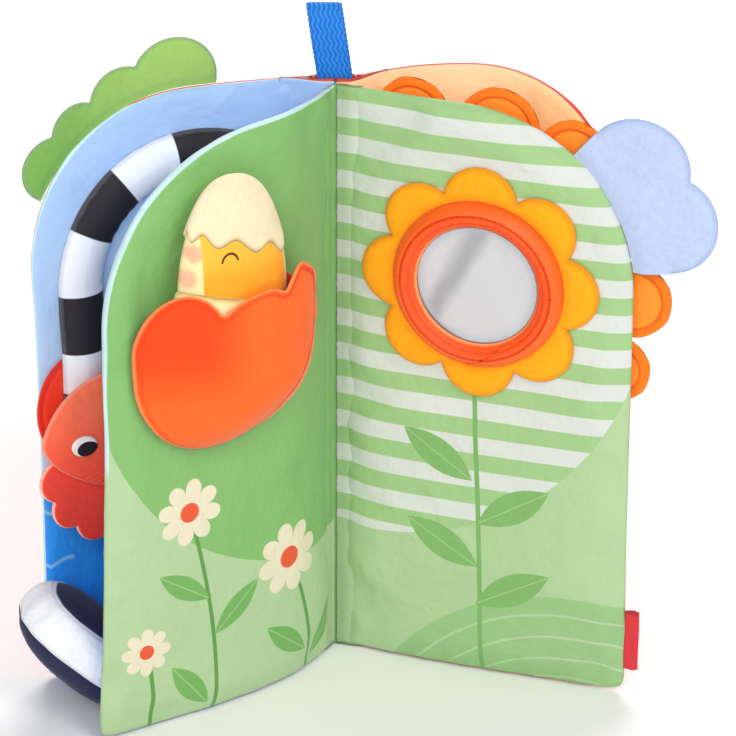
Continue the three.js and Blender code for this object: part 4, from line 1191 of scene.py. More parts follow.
petals = lobes_round(np.arange(PETAL_COUNT) / PETAL_COUNT * 2 * np.pi, PETAL_OUT, PETAL_RADIUS)
along, height = spoke_grid(FLOWER_PLACE, lambda a: lobe_reach(a, petals), 400, 26)
rim = rim_distance(along, height)
felt_low = FACE + REST_GAP
felt_high = felt_low + FELT_THICKNESS
felt_half = FELT_THICKNESS / 2
radius = np.hypot(along - FLOWER_PLACE[0], height - FLOWER_PLACE[1])
plump = 0.0013 * ease_out(rim / 0.006) * np.clip((radius - RING_OUTER) / 0.003, 0, 1)
high = felt_low + felt_half + (felt_half + plump) * round_rim(rim, 0.0012)
low = felt_low + felt_half - (felt_half + 0.001 * (radius > RING_OUTER)) * round_rim(rim, 0.0012)
flower_plush = plush_material("flower_felt", plain("FFAA00", thread="F39200"), 0.45, 0.12)
flower = sewn_skin("mirror_flower", page, along, height, rim, np.maximum(low, felt_low), high, flower_plush)
fasten(flower, ["flower_felt"], "right_page")

mirror_material = bpy.data.materials.new("soft_mirror")
mirror_material.use_nodes = True
graph = Graph(mirror_material.node_tree)
shader = mirror_material.node_tree.nodes["Principled BSDF"]
place = graph.node("ShaderNodeAttribute", {}, 1, attribute_name="place")
along, height, distance = graph.split(place)
# Painted reflection: a light grey disc crossed by a darker wavy streak.
slant = along * 0.88 + height * -0.47
cloud = graph.noise(place, 0.05, 2, 0.5)
reflection_streak = graph.fall(abs(slant + graph.maths("MULTIPLY_ADD", cloud, 6, 33.5)), 0.5, 6.5)
painted_reflection = graph.mix(reflection_streak * 0.85, shade("D0D1D3"), shade("A2A4A8"))
# Painted shade: bluish grey towards the rim.
rim = graph.fall(distance, 2.4, 6.5)
graph.feed(shader.inputs["Base Color"], graph.mix(rim * 0.7, painted_reflection, shade("B4BFC8")))
relief = graph.noise(place, 0.07, 1, 0.4) * 0.2
graph.feed(shader.inputs["Normal"], graph.node("ShaderNodeBump", {"Height": relief, "Distance": MM}))
scuffs = graph.noise(place, 0.3, 2, 0.5)
graph.feed(shader.inputs["Roughness"], graph.maths("MULTIPLY_ADD", scuffs, 0.06, 0.22))
shader.inputs["Metallic"].default_value = 0.45

along, height = spoke_grid(FLOWER_PLACE, lambda a: MIRROR_RADIUS + 0 * a, 96, 24)
rim = MIRROR_RADIUS - np.hypot(along - FLOWER_PLACE[0], height - FLOWER_PLACE[1])
warp = 0.00018 * np.sin(along * 110 + 0.6) * np.cos(height * 95)
warp = warp + 0.0001 * np.sin(along * 310 + height * 170)
film = (MIRROR_THICKNESS - 0.0002 + warp) * round_rim(rim, 0.0008)
mirror_low = felt_high + REST_GAP + 0 * rim
mirror = sewn_skin("mirror_film", page, along, height, rim, mirror_low, mirror_low + film, mirror_material)
fasten(mirror, ["mirror_disc"], "right_page")

# The ring's section runs over the pad from its outer edge to its inner one, then back under it.
RING_GROOVES = (0.42, 0.72)
LAP_TURN, LAP_SLANT, LAP_RUN = math.radians(279), math.radians(42), 0.007
RING_LENGTH = 176
turn = np.linspace(0, 2 * np.pi, 288, endpoint=False)[:, None]
over_mirror = REST_GAP + MIRROR_THICKNESS + REST_GAP
t = np.linspace(0, 1, 40)[None, :]
outer_groove, inner_groove = RING_GROOVES
groove = 0.0012 * bell(t, outer_groove, 0.04) + 0.0008 * bell(t, inner_groove, 0.04)
gathered = bell(t, outer_groove, 0.16) + 0.5 * bell(t, inner_groove, 0.1)
gathers = 0.0002 * np.sin(turn * 74 + 1.4 * np.sin(turn * 11)) * gathered
lap = (turn - LAP_TURN - (t - 0.5) * LAP_SLANT) * 0.028
lap_step = np.where((lap > 0) & (lap < LAP_RUN), 0.0007 * (1 - np.clip(lap / LAP_RUN, 0, 1)), 0)
lap_step = lap_step - 0.0009 * bell(lap, 0, 0.0007)
crown = np.sin(np.pi * t) ** 0.55
pad_out = REST_GAP + (RING_PAD - REST_GAP + 0.0006) * crown + crown * (gathers - groove + lap_step)
back_t = np.linspace(1, 0, 14)[None, 1:-1]
radius = RING_OUTER - (RING_OUTER - RING_INNER) * np.concatenate([t, back_t], axis=1) + 0 * turn
floor = np.where(radius < MIRROR_RADIUS + 2 * REST_GAP, over_mirror, REST_GAP)
out = felt_high + np.concatenate([np.maximum(pad_out, floor[:, :40]), floor[:, 40:]], axis=1)
spin = turn + 0 * radius
along, height = FLOWER_PLACE[0] + radius * np.cos(spin), FLOWER_PLACE[1] + radius * np.sin(spin)
place = np.stack([spin / (2 * np.pi) * RING_LENGTH, (RING_OUTER - radius) / MM, out / MM], -1)


def ring_paint(graph, place):
    _, across, _ = graph.split(place)
    # Painted sheen: a stretched noise between two close oranges.
    sheen = graph.noise(graph.vector("MULTIPLY", place, (1, 0.4, 0)), 0.12, 2, 0.5)
    colour = graph.mix(sheen, shade("FB5E0A"), shade("FC6C18"))
    colour = graph.mix(graph.lift(across, 3.6, 4.6), colour, shade("FB5400"))
    # Painted shade in the two sewn grooves, deeper in the outer one.
    for inset, depth in ((4.07, 0.85), (6.98, 0.55)):
        colour = graph.mix(graph.fall(abs(across - inset), 0.0, 0.7) * depth, colour, shade("D64400"))
    return graph.mix(graph.lift(across, 8.7, 9.1) * 0.8, colour, shade("FFA868")), None


ring_satin = cloth_material("orange_satin", ring_paint, 0.5, 0.05, 0.15)
ring_faces = grid_faces(*radius.shape, wrap_rows=True, wrap_columns=True)
ring = make_piece("mirror_ring_pad", leaf_point(page, along, height, out), ring_faces, place, [ring_satin])
fasten(ring, ["mirror_ring"], "right_page")

# Flaps in the arched seams: a green felt bush on the left cover and a blue fleece cloud on the
# right page, each with round lobes and a turned edge, caught between the two cloths of the leaf.
FLAP_THICKNESS = 0.0014


def arch_flap(name, leaf, lobes, columns, rows, material, plump):
    """A strip round the arch: from just inside the seam out to the farthest lobe at each angle,
    between the two angles where the lobes leave the seam."""
    lobes = [(a * ARCH_RADIUS, h * ARCH_RADIUS, r * ARCH_RADIUS) for a, h, r in lobes]

    def seam_reach(angle):
        past = np.cos(np.minimum(angle, 0)) * np.sin(np.maximum(angle, np.pi / 2))
        return (ARCH_RADIUS - 0.0006) / past

    tries = np.linspace(-0.2, 0.8, 2000) * np.pi
    outside = lobe_reach(tries, lobes) > seam_reach(tries)
    angle = np.linspace(tries[outside].min(), tries[outside].max(), columns)[:, None]
    inner = seam_reach(angle)
    outer = np.maximum(lobe_reach(angle, lobes), inner)
    share = np.sin(np.linspace(0, np.pi / 2, rows))[None, :]
    reach = inner + share * (outer - inner)
    along, height = ARCH_ALONG + reach * np.cos(angle), ARCH_HEIGHT + reach * np.sin(angle)
    ends = (along[:, -1], height[:, -1]), (along[::-1, -1], height[::-1, -1])
    distance = outline_distance(along, height, np.concatenate([np.stack(end, -1) for end in ends]))
    fill = (FLAP_THICKNESS / 2 + plump * ease_out(distance / 0.007)) * round_rim(distance, 0.0012)
    fill = fill * np.clip((reach - inner) / 0.004, 0.12, 1)
    sway = 0.0008 * np.sin(angle * 9) * share
    return sewn_skin(name, leaf, along, height, distance, sway - fill, sway + fill, material, wrap=False)


def bush_paint(graph, place):
    along, _, distance = graph.split(place)
    colour = graph.mix(graph.lift(along, 55, 105), shade("A0C965"), shade("7EB253"))
    return graph.mix(graph.fall(distance, 0.6, 1.5) * 0.6, colour, shade("849F77")), None


bush_felt = plush_material("bush_felt", bush_paint, 0.22, 0.25)
bush_lobes = [(0.075, 1.045, 0.239), (0.358, 0.94, 0.209), (0.627, 0.821, 0.172), (0.784, 0.642, 0.19)]
bush = arch_flap("bush_felt_flap", LEAVES["left_cover"], bush_lobes, 200, 22, bush_felt, 0.0005)
fasten(bush, ["bush_flap"], "left_cover")
cloud_fleece = plush_material("cloud_fleece", plain("BACAEC", thread="A6B7DE"), 0.55)
cloud_lobes = [(0.985, 0.724, 0.291), (1.164, 0.433, 0.276)]
cloud = arch_flap("cloud_fleece_flap", page, cloud_lobes, 180, 26, cloud_fleece, 0.0012)
fasten(cloud, ["cloud_flap"], "right_page")

# Red tape tab: a short loop of ribbed woven tape, folded flat and caught in the outer seam.
TAB_LOW, TAB_TOP, TAB_WIDTH, TAB_THICKNESS = 0.0095, 0.035, 0.005, 0.0012
TAB_HELD = 0.0005
TAB_RIB, TAB_MIDDLE = 0.8, 21.5
TAB_ROWS, TAB_COLUMNS = 30, 28
run = np.linspace(0, 1, TAB_ROWS)[:, None]
turn = np.linspace(0, 2 * np.pi, TAB_COLUMNS, endpoint=False)[None, :]
end = np.clip(np.minimum(run, 1 - run) / 0.02, 0, 1) ** 0.5
across = (TAB_WIDTH + TAB_HELD) * (0.5 - 0.5 * signed_power(np.cos(turn), 0.5)) - TAB_HELD
along = LEAF_WIDTH + 0.003 + (across - 0.003) * (0.02 + 0.98 * end)
height = TAB_LOW + (TAB_TOP - TAB_LOW) * run + 0 * turn
out = TAB_THICKNESS / 2 * signed_power(np.sin(turn), 0.35) * end + 0.0004 * np.sin(run * 7)


def tape_paint(graph, place):
    _, height, _ = graph.split(place)
    rib = graph.maths("SINE", height * (2 * math.pi / TAB_RIB))
    edge = graph.lift(abs(height - TAB_MIDDLE), 10.8, 12)
    return graph.mix(edge, shade("DC2230"), shade("B5121F")), rib * 0.07


tape = cloth_material("red_tape", tape_paint, 0.5, 0.2, 0.1)
place = np.stack([along / MM, height / MM, 0 * along + 2], -1)
tab_faces = grid_faces(TAB_ROWS, TAB_COLUMNS, wrap_columns=True)
tab = make_piece("edge_tape_tab", leaf_point(page, along, height, out), tab_faces, place, [tape])
shell = bmesh.new()
shell.from_mesh(tab.data)
bmesh.ops.holes_fill(shell, edges=[edge for edge in shell.edges if edge.is_boundary])
shell.to_mesh(tab.data)
shell.free()
fasten(tab, ["edge_tab"], "right_page")

# Sun petals: plush discs with a turned rim and a sewn circle, on the back of the right page, so
# that only their outer parts show past its arch.
def sun_paint(graph, place):
    _, _, distance = graph.split(place)
    colour = graph.mix(graph.lift(distance, 3.3, 3.9), shade("FF7A08"), shade("FF9426"))
    # Painted shade in the sewn circle's groove.
    dip = graph.fall(abs(distance - 3.5), 0.0, 0.9)
    return graph.mix(dip * 0.7, colour, shade("E85C00")), dip * -0.45


sun_plush = plush_material("sun_felt", sun_paint, 0.35)
# Each petal's centre from the arch's and its radius, as shares of the arch's radius.
SUN_PETALS = [
    (-0.29, 0.846, 0.216), (0.201, 0.836, 0.23), (0.619, 0.739, 0.193),
    (0.881, 0.358, 0.187), (0.963, -0.06, 0.221), (0.881, -0.478, 0.194),
]
PETAL_SLACK = 0.0004
for number, petal in enumerate(SUN_PETALS, 1):
    petal_along, petal_height, radius = np.array(petal) * ARCH_RADIUS
    centre = (ARCH_ALONG + petal_along, ARCH_HEIGHT + petal_height)
    along, height = spoke_grid(centre, lambda a: radius + 0.0002 * np.sin(7 * a + number), 96, 22)
    distance = radius - np.hypot(along - centre[0], height - centre[1])
    fill = (felt_half + 0.0007 * ease_out(distance / 0.005)) * round_rim(np.maximum(distance, 0), 0.0012)
    middle_out = -FACE - REST_GAP - felt_half - PETAL_SLACK
    low, high = middle_out - fill, middle_out + np.minimum(fill, felt_half + PETAL_SLACK)
    piece = sewn_skin(f"sun_petal_plush_{number}", page, along, height, distance, low, high, sun_plush)
    fasten(piece, [f"sun_petal_{number}"], "right_page")

# Left cover: a padded black and white striped strap that arches over it and runs down behind the
# sea creature, which has a flat fin, a scalloped skirt and a plump head with one eye.
cover = LEAVES["left_cover"]
STRAP_WIDTH = 0.018
STRAP_DEPTH = 0.005
STRAP_RADIUS = 0.046
STRAP_START = math.radians(118)
STRAP_FOOT = 0.108
STRAP_ALONG, STRAP_HEIGHT = ARCH_ALONG - 0.001, ARCH_HEIGHT - 0.004
FIN_THICKNESS = 0.0014
FIN_PLACE, FIN_SIZE = (0.092, 0.112), (0.0188, 0.022)
# The bands along the strap, in millimetres; below the arch the sewing squeezes them.
STRAP_BAND, STRAP_FIRST_BAND = 22, 3.1
STRAP_SQUEEZED_FROM, STRAP_SQUEEZE = 117.9, 0.4

arc_length = STRAP_START * STRAP_RADIUS
leg_length = STRAP_HEIGHT - STRAP_FOOT
STRAP_ROWS, STRAP_COLUMNS = 180, 30
run = np.linspace(0, arc_length + leg_length, STRAP_ROWS)[:, None]
angle = np.maximum(STRAP_START - run / STRAP_RADIUS, 0)
share = np.sin(np.linspace(-np.pi / 2, np.pi / 2, STRAP_COLUMNS))[None, :]
end_taper = round_rim(np.minimum(run, run[-1] - run), 0.004)
reach = STRAP_RADIUS + share * STRAP_WIDTH / 2 * (0.55 + 0.45 * end_taper)
along = STRAP_ALONG + reach * np.cos(angle)
height = STRAP_HEIGHT + reach * np.sin(angle) - np.maximum(run - arc_length, 0)
lift_start = FIN_PLACE[1] + FIN_SIZE[1] + STRAP_WIDTH
lift = REST_GAP + (FIN_THICKNESS + REST_GAP) * soft_step((lift_start - height) / STRAP_WIDTH)
side_gathers = 0.00025 * np.sin(run * 1150 + 1.5 * np.sin(run * 240)) * bell(np.abs(share), 1, 0.25)
cross_waves = 0.0003 * np.sin(run * 310 + 1) * (1 - share**2)
dome = (STRAP_DEPTH + 0.0006) * (1 - share**2) ** 0.6 * end_taper
strap_low = FACE + lift
strap_high = strap_low + (dome + (side_gathers + cross_waves) * end_taper) * (1 - share**2 > 1e-9)
faces = grid_faces(STRAP_ROWS, STRAP_COLUMNS)
faces_out = (strap_high, strap_low)
points = np.concatenate([leaf_point(cover, along, height, out).reshape(-1, 3) for out in faces_out])
from_edge = (1 - np.abs(share)) * STRAP_WIDTH / 2
place = np.stack([run / MM + 0 * share, from_edge / MM + 0 * run, share * 9 + 0 * run], -1).reshape(-1, 3)


def strap_paint(graph, place):
    run, across, _ = graph.split(place)
    squeezed = graph.maths("MAXIMUM", run - STRAP_SQUEEZED_FROM, 0) * STRAP_SQUEEZE
    phase = graph.maths("FRACT", (run + squeezed + STRAP_FIRST_BAND) / (2 * STRAP_BAND))
    colour = graph.mix(graph.between(phase, 0.25, 0.75, 0.006), shade("F2F6FC"), shade("1B151C"))
    return graph.mix(graph.fall(across, 0.3, 1.2) * 0.25, colour, shade("8A8C96")), None


strap_satin = cloth_material("striped_cloth", strap_paint, 0.7, 0.0, 0.35)
both = np.concatenate([faces, faces[:, ::-1] + STRAP_ROWS * STRAP_COLUMNS])
strap = make_piece("striped_band", points, both, np.concatenate([place, place]), [strap_satin])
fasten(strap, ["striped_strap"], "left_cover")


def oval_reach(angle, half_width, half_height):
    """Distance from the middle of an oval to its rim in each direction."""
    return 1 / np.hypot(np.cos(angle) / half_width, np.sin(angle) / half_height)


fin_red = plush_material("creature_fin_red", plain("FF4326", sewn=2.2, thread="EE2C14"), 0.3)
along, height = spoke_grid(FIN_PLACE, lambda a: oval_reach(a, *FIN_SIZE), 160, 22)
distance = rim_distance(along, height)
fill = FIN_THICKNESS / 2 * round_rim(distance, 0.0009)
middle_out = FACE + REST_GAP + FIN_THICKNESS / 2
low, high = middle_out - fill, middle_out + fill
fin = sewn_skin("creature_fin", cover, along, height, distance, low, high, fin_red)
fasten(fin, ["creature_back_fin"], "left_cover")

SKIRT_PLACE, SKIRT_THICKNESS = (0.084, 0.092), 0.0024
SKIRT_LIFT, SKIRT_SEWN, SKIRT_RUN = 0.0072, 0.066, 0.018
FIRST_SCALLOP, SCALLOP_STEP, SCALLOP_COUNT = -8, -31, 5
SCALLOP_OUT, SCALLOP_RADIUS = 0.0237, 0.0085
scallop_turns = np.radians(FIRST_SCALLOP + SCALLOP_STEP * np.arange(SCALLOP_COUNT))
scallops = lobes_round(scallop_turns, SCALLOP_OUT, SCALLOP_RADIUS)


def skirt_low(along):
    """Underside of the skirt: sewn near the fold, and standing off the cover towards its edge."""
    cover_gap = FIN_THICKNESS + REST_GAP
    return FACE + REST_GAP + (cover_gap + SKIRT_LIFT) * soft_step((along - SKIRT_SEWN) / SKIRT_RUN)


along, height = spoke_grid(SKIRT_PLACE, lambda a: np.maximum(lobe_reach(a, scallops), 0.0255), 360, 26)
distance = rim_distance(along, height)
fill = SKIRT_THICKNESS / 2 * round_rim(distance, 0.0012)
middle_out = skirt_low(along) + SKIRT_THICKNESS / 2


def skirt_paint(graph, place):
    _, height, distance = graph.split(place)
    colour = graph.mix(graph.lift(height, 55, 90), shade("FC3E2C"), shade("FF4C38"))
    return graph.mix(graph.fall(distance, 0.3, 0.6), colour, shade("FFB4A6")), None


skirt_red = plush_material("creature_red", skirt_paint, 0.3)
low, high = middle_out - fill, middle_out + fill
skirt = sewn_skin("creature_scallops", cover, along, height, distance, low, high, skirt_red)
fasten(skirt, ["creature_skirt"], "left_cover")

HEAD_PLACE = (0.085, 0.097)
HEAD_HALF, HEAD_TALL, HEAD_CHIN, HEAD_TILT = 0.0325, 0.032, 0.014, math.radians(20)
HEAD_DEPTH, HEAD_RIM, HEAD_CLEARANCE = 0.006, 0.001, 0.0006


def head_reach(angle):
    """Rim of the head: a tilted half circle above a shallow chin."""
    turned = angle - HEAD_TILT
    return oval_reach(turned, HEAD_HALF, np.where(np.sin(turned) > 0, HEAD_TALL, HEAD_CHIN))


def head_low(along):
    """Underside of the head, just clear of the skirt."""
    return skirt_low(along) + SKIRT_THICKNESS + HEAD_CLEARANCE


def head_high(along, height, distance):
    """Top of the head: a stuffed dome from the rim."""
    angle = np.arctan2(height - HEAD_PLACE[1], along - HEAD_PLACE[0])
    reach = np.hypot(along - HEAD_PLACE[0], height - HEAD_PLACE[1])
    dome = HEAD_DEPTH * np.sqrt(np.maximum(1 - np.clip(reach / head_reach(angle), 0, 1) ** 2, 0))
    return head_low(along) + HEAD_RIM / 2 + (HEAD_RIM / 2 + dome) * round_rim(distance, 0.0012)


along, height = spoke_grid(HEAD_PLACE, head_reach, 220, 34)
distance = rim_distance(along, height)
low = head_low(along) + HEAD_RIM / 2 * (1 - round_rim(distance, 0.0012))
from_crease = (height - 0.094) + (0.1108 - along) * 0.66
crease = -0.0011 * bell(from_crease, 0, 0.0012) * np.clip((along - 0.088) / 0.006, 0, 1)
spin = np.arctan2(height - HEAD_PLACE[1], along - HEAD_PLACE[0])
tucks = 0.00025 * np.sin(spin * 34) * np.exp(-distance / 0.003)
high = head_high(along, height, distance) + (crease + tucks) * round_rim(distance, 0.002)


def head_paint(graph, place):
    _, height, distance = graph.split(place)
    colour = graph.mix(graph.lift(height, 92, 122), shade("FF5238"), shade("FF7450"))
    return graph.mix(graph.fall(distance, 0.25, 0.7) * 0.7, colour, shade("FFA28C")), None


head_plush = plush_material("creature_coral", head_paint, 0.3)
head = sewn_skin("creature_head_pad", cover, along, height, distance, low, high, head_plush)
fasten(head, ["creature_head"], "left_cover")

EYE_PLACE = (0.1005, 0.1045)
along, height = spoke_grid(EYE_PLACE, lambda a: oval_reach(a, 0.0055, 0.004), 72, 12)
distance = rim_distance(along, height)
low = head_high(along, height, np.full_like(along, 0.01)) + REST_GAP
high = low + 0.0009 * round_rim(distance, 0.0012)


def eye_paint(graph, place):
    off = graph.offset(place, (99.5, 103.5, 0), (1, 1.5, 0))
    pupil = graph.fall(graph.vector("LENGTH", off), 4.45, 4.65)
    return graph.mix(pupil, shade("FBF3EE"), shade("1C1418")), None


eye_cloth = cloth_material("eye_print", eye_paint, 0.35, 0.0, 0.05)
eye = sewn_skin("creature_sewn_eye", cover, along, height, distance, low, high, eye_cloth)
fasten(eye, ["creature_eye"], "left_cover")

# Striped roll: a plush cushion of white and navy bands, squeezed between the left cover and the left page,
# and sewn to the cover.
ROLL_ALONG, ROLL_HEIGHT, ROLL_OUT = 0.1066, 0.0265, 0.027
ROLL_LENGTH, ROLL_TALL, ROLL_DEEP, ROLL_SEWN_DEEP = 0.028, 0.0138, 0.0185, 0.0234
ROLL_TILT, ROLL_SWING = math.radians(45), math.radians(25)
SQUARENESS = 0.8
roll_middle, roll_lengthways, roll_outward = leaf_axes(cover, ROLL_ALONG, ROLL_HEIGHT, ROLL_OUT)
turn = np.linspace(0, 2 * np.pi, 128, endpoint=False)[:, None]
rise = np.linspace(0, np.pi, 66)[None, :]
swell = np.where((rise < 1e-9) | (rise > np.pi - 1e-9), 0, np.maximum(np.sin(rise), 0) ** SQUARENESS)
puckers = 1 + 0.012 * np.sin(turn * 13 + 2 * np.sin(rise * 3)) * np.sin(rise) ** 2
side = ROLL_LENGTH * swell * signed_power(np.cos(turn), SQUARENESS) * puckers
half_deep = np.where(np.sin(turn) > 0, ROLL_DEEP, ROLL_SEWN_DEEP)
deep = half_deep * swell * signed_power(np.sin(turn), SQUARENESS) * puckers
tall = -ROLL_TALL * signed_power(np.cos(rise), SQUARENESS) + 0 * turn
level_side = side * math.cos(ROLL_TILT) - tall * math.sin(ROLL_TILT)
swung_side = level_side * math.cos(ROLL_SWING) + deep * math.sin(ROLL_SWING)
swung_deep = deep * math.cos(ROLL_SWING) - level_side * math.sin(ROLL_SWING)
points = roll_middle + swung_side[..., None] * roll_lengthways + swung_deep[..., None] * roll_outward
points[..., 2] += side * math.sin(ROLL_TILT) + tall * math.cos(ROLL_TILT)
place = np.stack([side, tall, deep], -1) / MM


ROLL_SEAMS = (-3.3, 11.2)


def roll_paint(graph, place):
    side, tall, _ = graph.split(place)
    level = graph.maths("MULTIPLY_ADD", side, 0.07, tall)
    colour = graph.mix(graph.between(level, *ROLL_SEAMS, 0.2), shade("1E2448"), shade("F0F1F5"))
    below, above = (graph.lift(abs(level - seam), 0.0, 1.2) for seam in ROLL_SEAMS)
    return colour, (below + above) * 0.5


roll_plush = plush_material("navy_plush", roll_paint, 0.6, 0.15)
roll = make_piece("striped_cushion", points, grid_faces(128, 66, wrap_rows=True), place, [roll_plush])
fasten(roll, ["striped_roll"], "left_cover")
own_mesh(roll)

# Spine: the rolled fold between the page leaves, a wadded filler strip behind it, the soft outer
# cover panel, and the blue webbing loop whose tails are caught at the head.


def soft_column(name, middle, half, low, high, power, material, rows=60, waver=0.0):
    """An upright soft bar: a rounded box in plan, drawn in to a point over its last millimetres at
    both ends, with an optional slight waver along its height."""
    turn = np.linspace(0, 2 * np.pi, 48, endpoint=False)[:, None]
    share = 0.5 - 0.5 * np.cos(np.linspace(0, np.pi, rows))[None, :]
    height = low + (high - low) * share
    end = round_rim(np.minimum(height - low, high - height), min(half))
    end = np.where((share < 1e-9) | (share > 1 - 1e-9), 0, 0.15 + 0.85 * end)
    ripple = 1 + waver * np.sin(height * 420 + 3 * np.sin(turn))
    x = middle[0] + half[0] * signed_power(np.cos(turn), power) * end * ripple
    y = middle[1] + half[1] * signed_power(np.sin(turn), power) * end * ripple
    points = np.stack([x, y, height + 0 * turn], -1)
    place = np.stack([x / MM, height / MM + 0 * turn, 3 + 0 * x], -1)
    return make_piece(name, points, grid_faces(48, rows, wrap_rows=True), place, [material])


FOLD_RADIUS = 0.0012
FILLER_HALF = 0.0042
PANEL_HALF = 0.0072
filler_front = FOLD_RADIUS + REST_GAP
filler_back = COVER_HINGE_Y - 0.0008 - REST_GAP
fold_green = cloth_material("fold_green", plain("8FC47A"), creases=0.2)
wadding = cloth_material("filling", plain("F4F2EA"), creases=0.4)
filler_half = (FILLER_HALF, (filler_back - filler_front) / 2)
web_middle = (filler_front + filler_back) / 2
fold = soft_column(
    "fold_seam", (0, 0), (FOLD_RADIUS, FOLD_RADIUS), 0, LEAF_HEIGHT - 0.0012, 1, fold_green, 90, 0.05,
)
filler = soft_column(
    "spine_wadding", (0, web_middle), filler_half, 0, LEAF_HEIGHT - 0.0153, 0.5, wadding, 60, 0.01,
)
panel = soft_column(
    "spine_cover", (0, COVER_HINGE_Y), (PANEL_HALF, 0.0008), 0, LEAF_HEIGHT, 0.6, cover_cloth, 90, 0.02,
)
for piece, node in ((fold, "page_fold_seam"), (filler, "spine_filler"), (panel, "spine_panel")):
    fasten(piece, [node], "spine")


def fold_cloth(name, leaf_name, path, reach_end, face, material, rise=-0.0003):
    """A strip of a leaf's own cloth, from an upright line at the spine over onto one face of the
    leaf: it follows the path, a smooth blend to the face, then lies on it and sinks into it."""
    leaf = LEAVES[leaf_name]
    share = np.linspace(0, 1, 20)[:, None]
    low_end = 0.0003 if face > 0 else 0.002
    top = LEAF_HEIGHT + rise - (low_end + rise) * soft_step(share / 0.8)
    height = 0.0004 + (top - 0.0004) * np.linspace(0, 1, 120)[None, :]
    reach = reach_end * share + 0 * height
    puff = PUFF_DEPTH * ease_out((reach - HINGE_SEAM) / PUFF_RUN)
    over = SEAM_HALF_GAP + CLOTH_THICKNESS + puff + 0.0001 - 0.0022 * soft_step((share - 0.45) / 0.55)
    on_leaf = leaf_point(leaf, reach, height, face * over)
    outward = face * (leaf_point(leaf, reach, height, 1) - leaf_point(leaf, reach, height, 0))
    stops = np.linspace(0, 0.45, len(path))
    line_x, line_y = (np.interp(share, stops, [point[k] for point in path]) + 0 * height for k in (0, 1))
    at_line = np.stack([line_x, line_y, height + 0 * share], -1)
    way_start = 0 if len(path) == 1 else 0.3
    way = soft_step((share - way_start) / (0.75 - way_start))[..., None]
    wave = 0.00012 * np.sin(height * 1200) * np.sin(np.pi * share)
    outer = at_line * (1 - way) + (on_leaf + wave[..., None] * outward) * way
    inner = outer - 0.0004 * np.sin(np.pi * np.clip(share, 0.02, 0.98))[..., None] ** 0.4 * outward
    inside = np.minimum((LEAF_HEIGHT - height) / MM, 3)
    place = np.stack([reach / MM, height / MM + 0 * reach, inside + 0 * reach], -1)
    edge = np.zeros(reach.shape, bool)
    edge[[0, -1], :] = True
    edge[:, [0, -1]] = True
    points, places, faces, _ = join_skins(outer, inner, place, edge)
    piece = make_piece(name, points, faces, places, [material])
    far = leaf_point(leaf, np.array(reach_end * 0.7), np.array(0.1), np.array(face * 0.002))
    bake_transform(piece)


PANEL_BACK = COVER_HINGE_Y + 0.0009
STRIP_RISE = 0.0008
for side, x in (("left", -1), ("right", 1)):
    page_cloth = left_page_cloth if side == "left" else right_page_cloth
    lining, lining_slot = (sky_cloth, "sky_print") if side == "left" else (peach_cloth, "peach_print")
    line = (-0.0003, -0.0019) if side == "left" else (0.0005, -0.0018)
    behind_filler = [(x * 0.0001, 0.00125), (x * 0.0069, 0.0011)]
    fold_cloth(f"fold_cloth_{side}", f"{side}_page", [line], 0.009, 1, page_cloth)
    cover_name, behind_panel = f"{side}_cover", [(x * 0.006, PANEL_BACK)]
    fold_cloth(f"cover_strip_{side}", cover_name, behind_filler, 0.012, 1, lining, STRIP_RISE)
    fold_cloth(f"spine_edge_{side}", cover_name, behind_panel, 0.008, -1, cover_cloth)

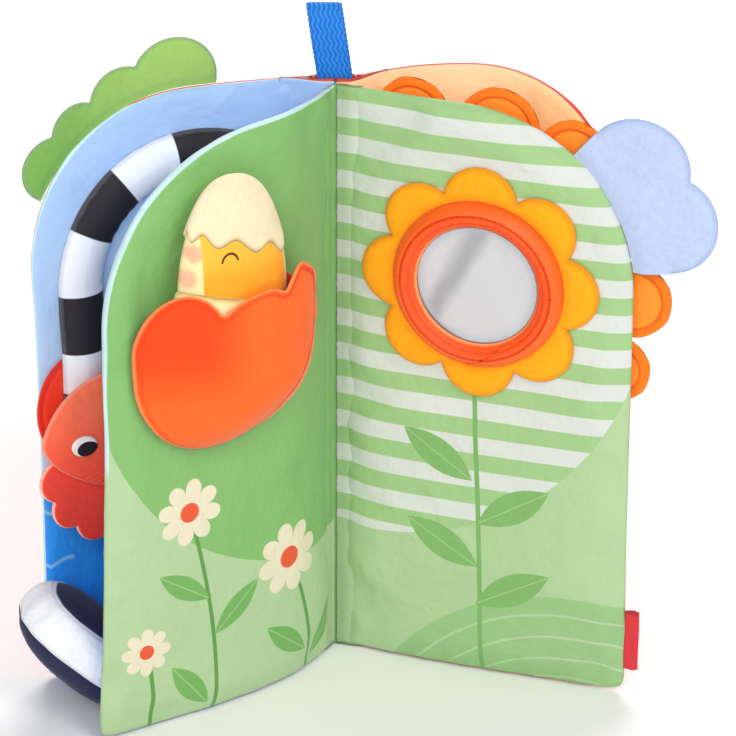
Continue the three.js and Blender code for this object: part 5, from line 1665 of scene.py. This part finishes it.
WEB_WIDTH, WEB_THICKNESS = 0.0127, 0.0013
LOOP_HEIGHT, LOOP_TAIL, LOOP_HALF_GAP, LOOP_BULGE, LOOP_LEAN = 0.028, 0.015, 0.0018, 0.005, 0.004
LOOP_TAIL_POINTS = 13
WEB_WAVE, WEB_RIB = 4.4, 1.75
turns = np.linspace(0, np.pi, 90)
spread = LOOP_HALF_GAP + LOOP_BULGE * np.sin(turns)
tail = np.linspace(LEAF_HEIGHT - LOOP_TAIL, LEAF_HEIGHT, LOOP_TAIL_POINTS + 1)[:-1]
front, back = (np.full(LOOP_TAIL_POINTS, web_middle + side * LOOP_HALF_GAP) for side in (-1, 1))
loop_y = np.concatenate([front, web_middle - spread * np.cos(turns), back])
loop_z = np.concatenate([tail, LEAF_HEIGHT + LOOP_HEIGHT * np.sin(turns), tail[::-1]])
way_y, way_z = np.gradient(loop_y), np.gradient(loop_z)
way_length = np.hypot(way_y, way_z)
way_y, way_z = way_y / way_length, way_z / way_length
loop_run = np.concatenate([[0], np.cumsum(np.hypot(np.diff(loop_y), np.diff(loop_z)))])
section = np.linspace(0, 2 * np.pi, 40, endpoint=False)[None, :]
closing = round_rim(np.minimum(loop_run, loop_run[-1] - loop_run), 0.0006)[:, None]
scallop = 0.00016 * np.sin(loop_run * 2 * np.pi / 0.0021)[:, None]
half_width = WEB_WIDTH / 2 + scallop * np.abs(np.cos(section)) ** 6
side = half_width * signed_power(np.cos(section), 0.35)
off = WEB_THICKNESS / 2 * signed_power(np.sin(section), 0.5) * closing
lean = -LOOP_LEAN * np.maximum(loop_z - LEAF_HEIGHT, 0) / LOOP_HEIGHT
points = np.stack([
    lean[:, None] + side + 0 * off,
    loop_y[:, None] - way_z[:, None] * off,
    loop_z[:, None] + way_y[:, None] * off,
], -1)
place = np.stack([side / MM + 0 * off, loop_run[:, None] / MM + 0 * off, 3 + 0 * off], -1)


def webbing_paint(graph, place):
    across, run, _ = graph.split(place)
    wave = graph.maths("SINE", run * (2 * math.pi / WEB_WAVE))
    bent = graph.maths("MULTIPLY_ADD", wave, 0.42, across)
    rib = graph.maths("SINE", bent * (2 * math.pi / WEB_RIB))
    # Painted highlight along the rib crests.
    painted_rib_highlight = graph.maths("MULTIPLY_ADD", rib, 0.5, 0.5) ** 1.6
    colour = graph.mix(painted_rib_highlight, shade("0468C8"), shade("1590F2"))
    edge = graph.lift(abs(across), 5.2, 5.9)
    return graph.mix(edge * 0.5, colour, shade("0A6FD0")), rib * 0.16


webbing = cloth_material("webbing", webbing_paint, 0.6, 0.0, 0.1)
loop_faces = grid_faces(*points.shape[:2], wrap_columns=True)
loop = make_piece("hanging_loop", points, loop_faces, place, [webbing])
fasten(loop, ["webbing_loop"], "spine")


low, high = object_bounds()
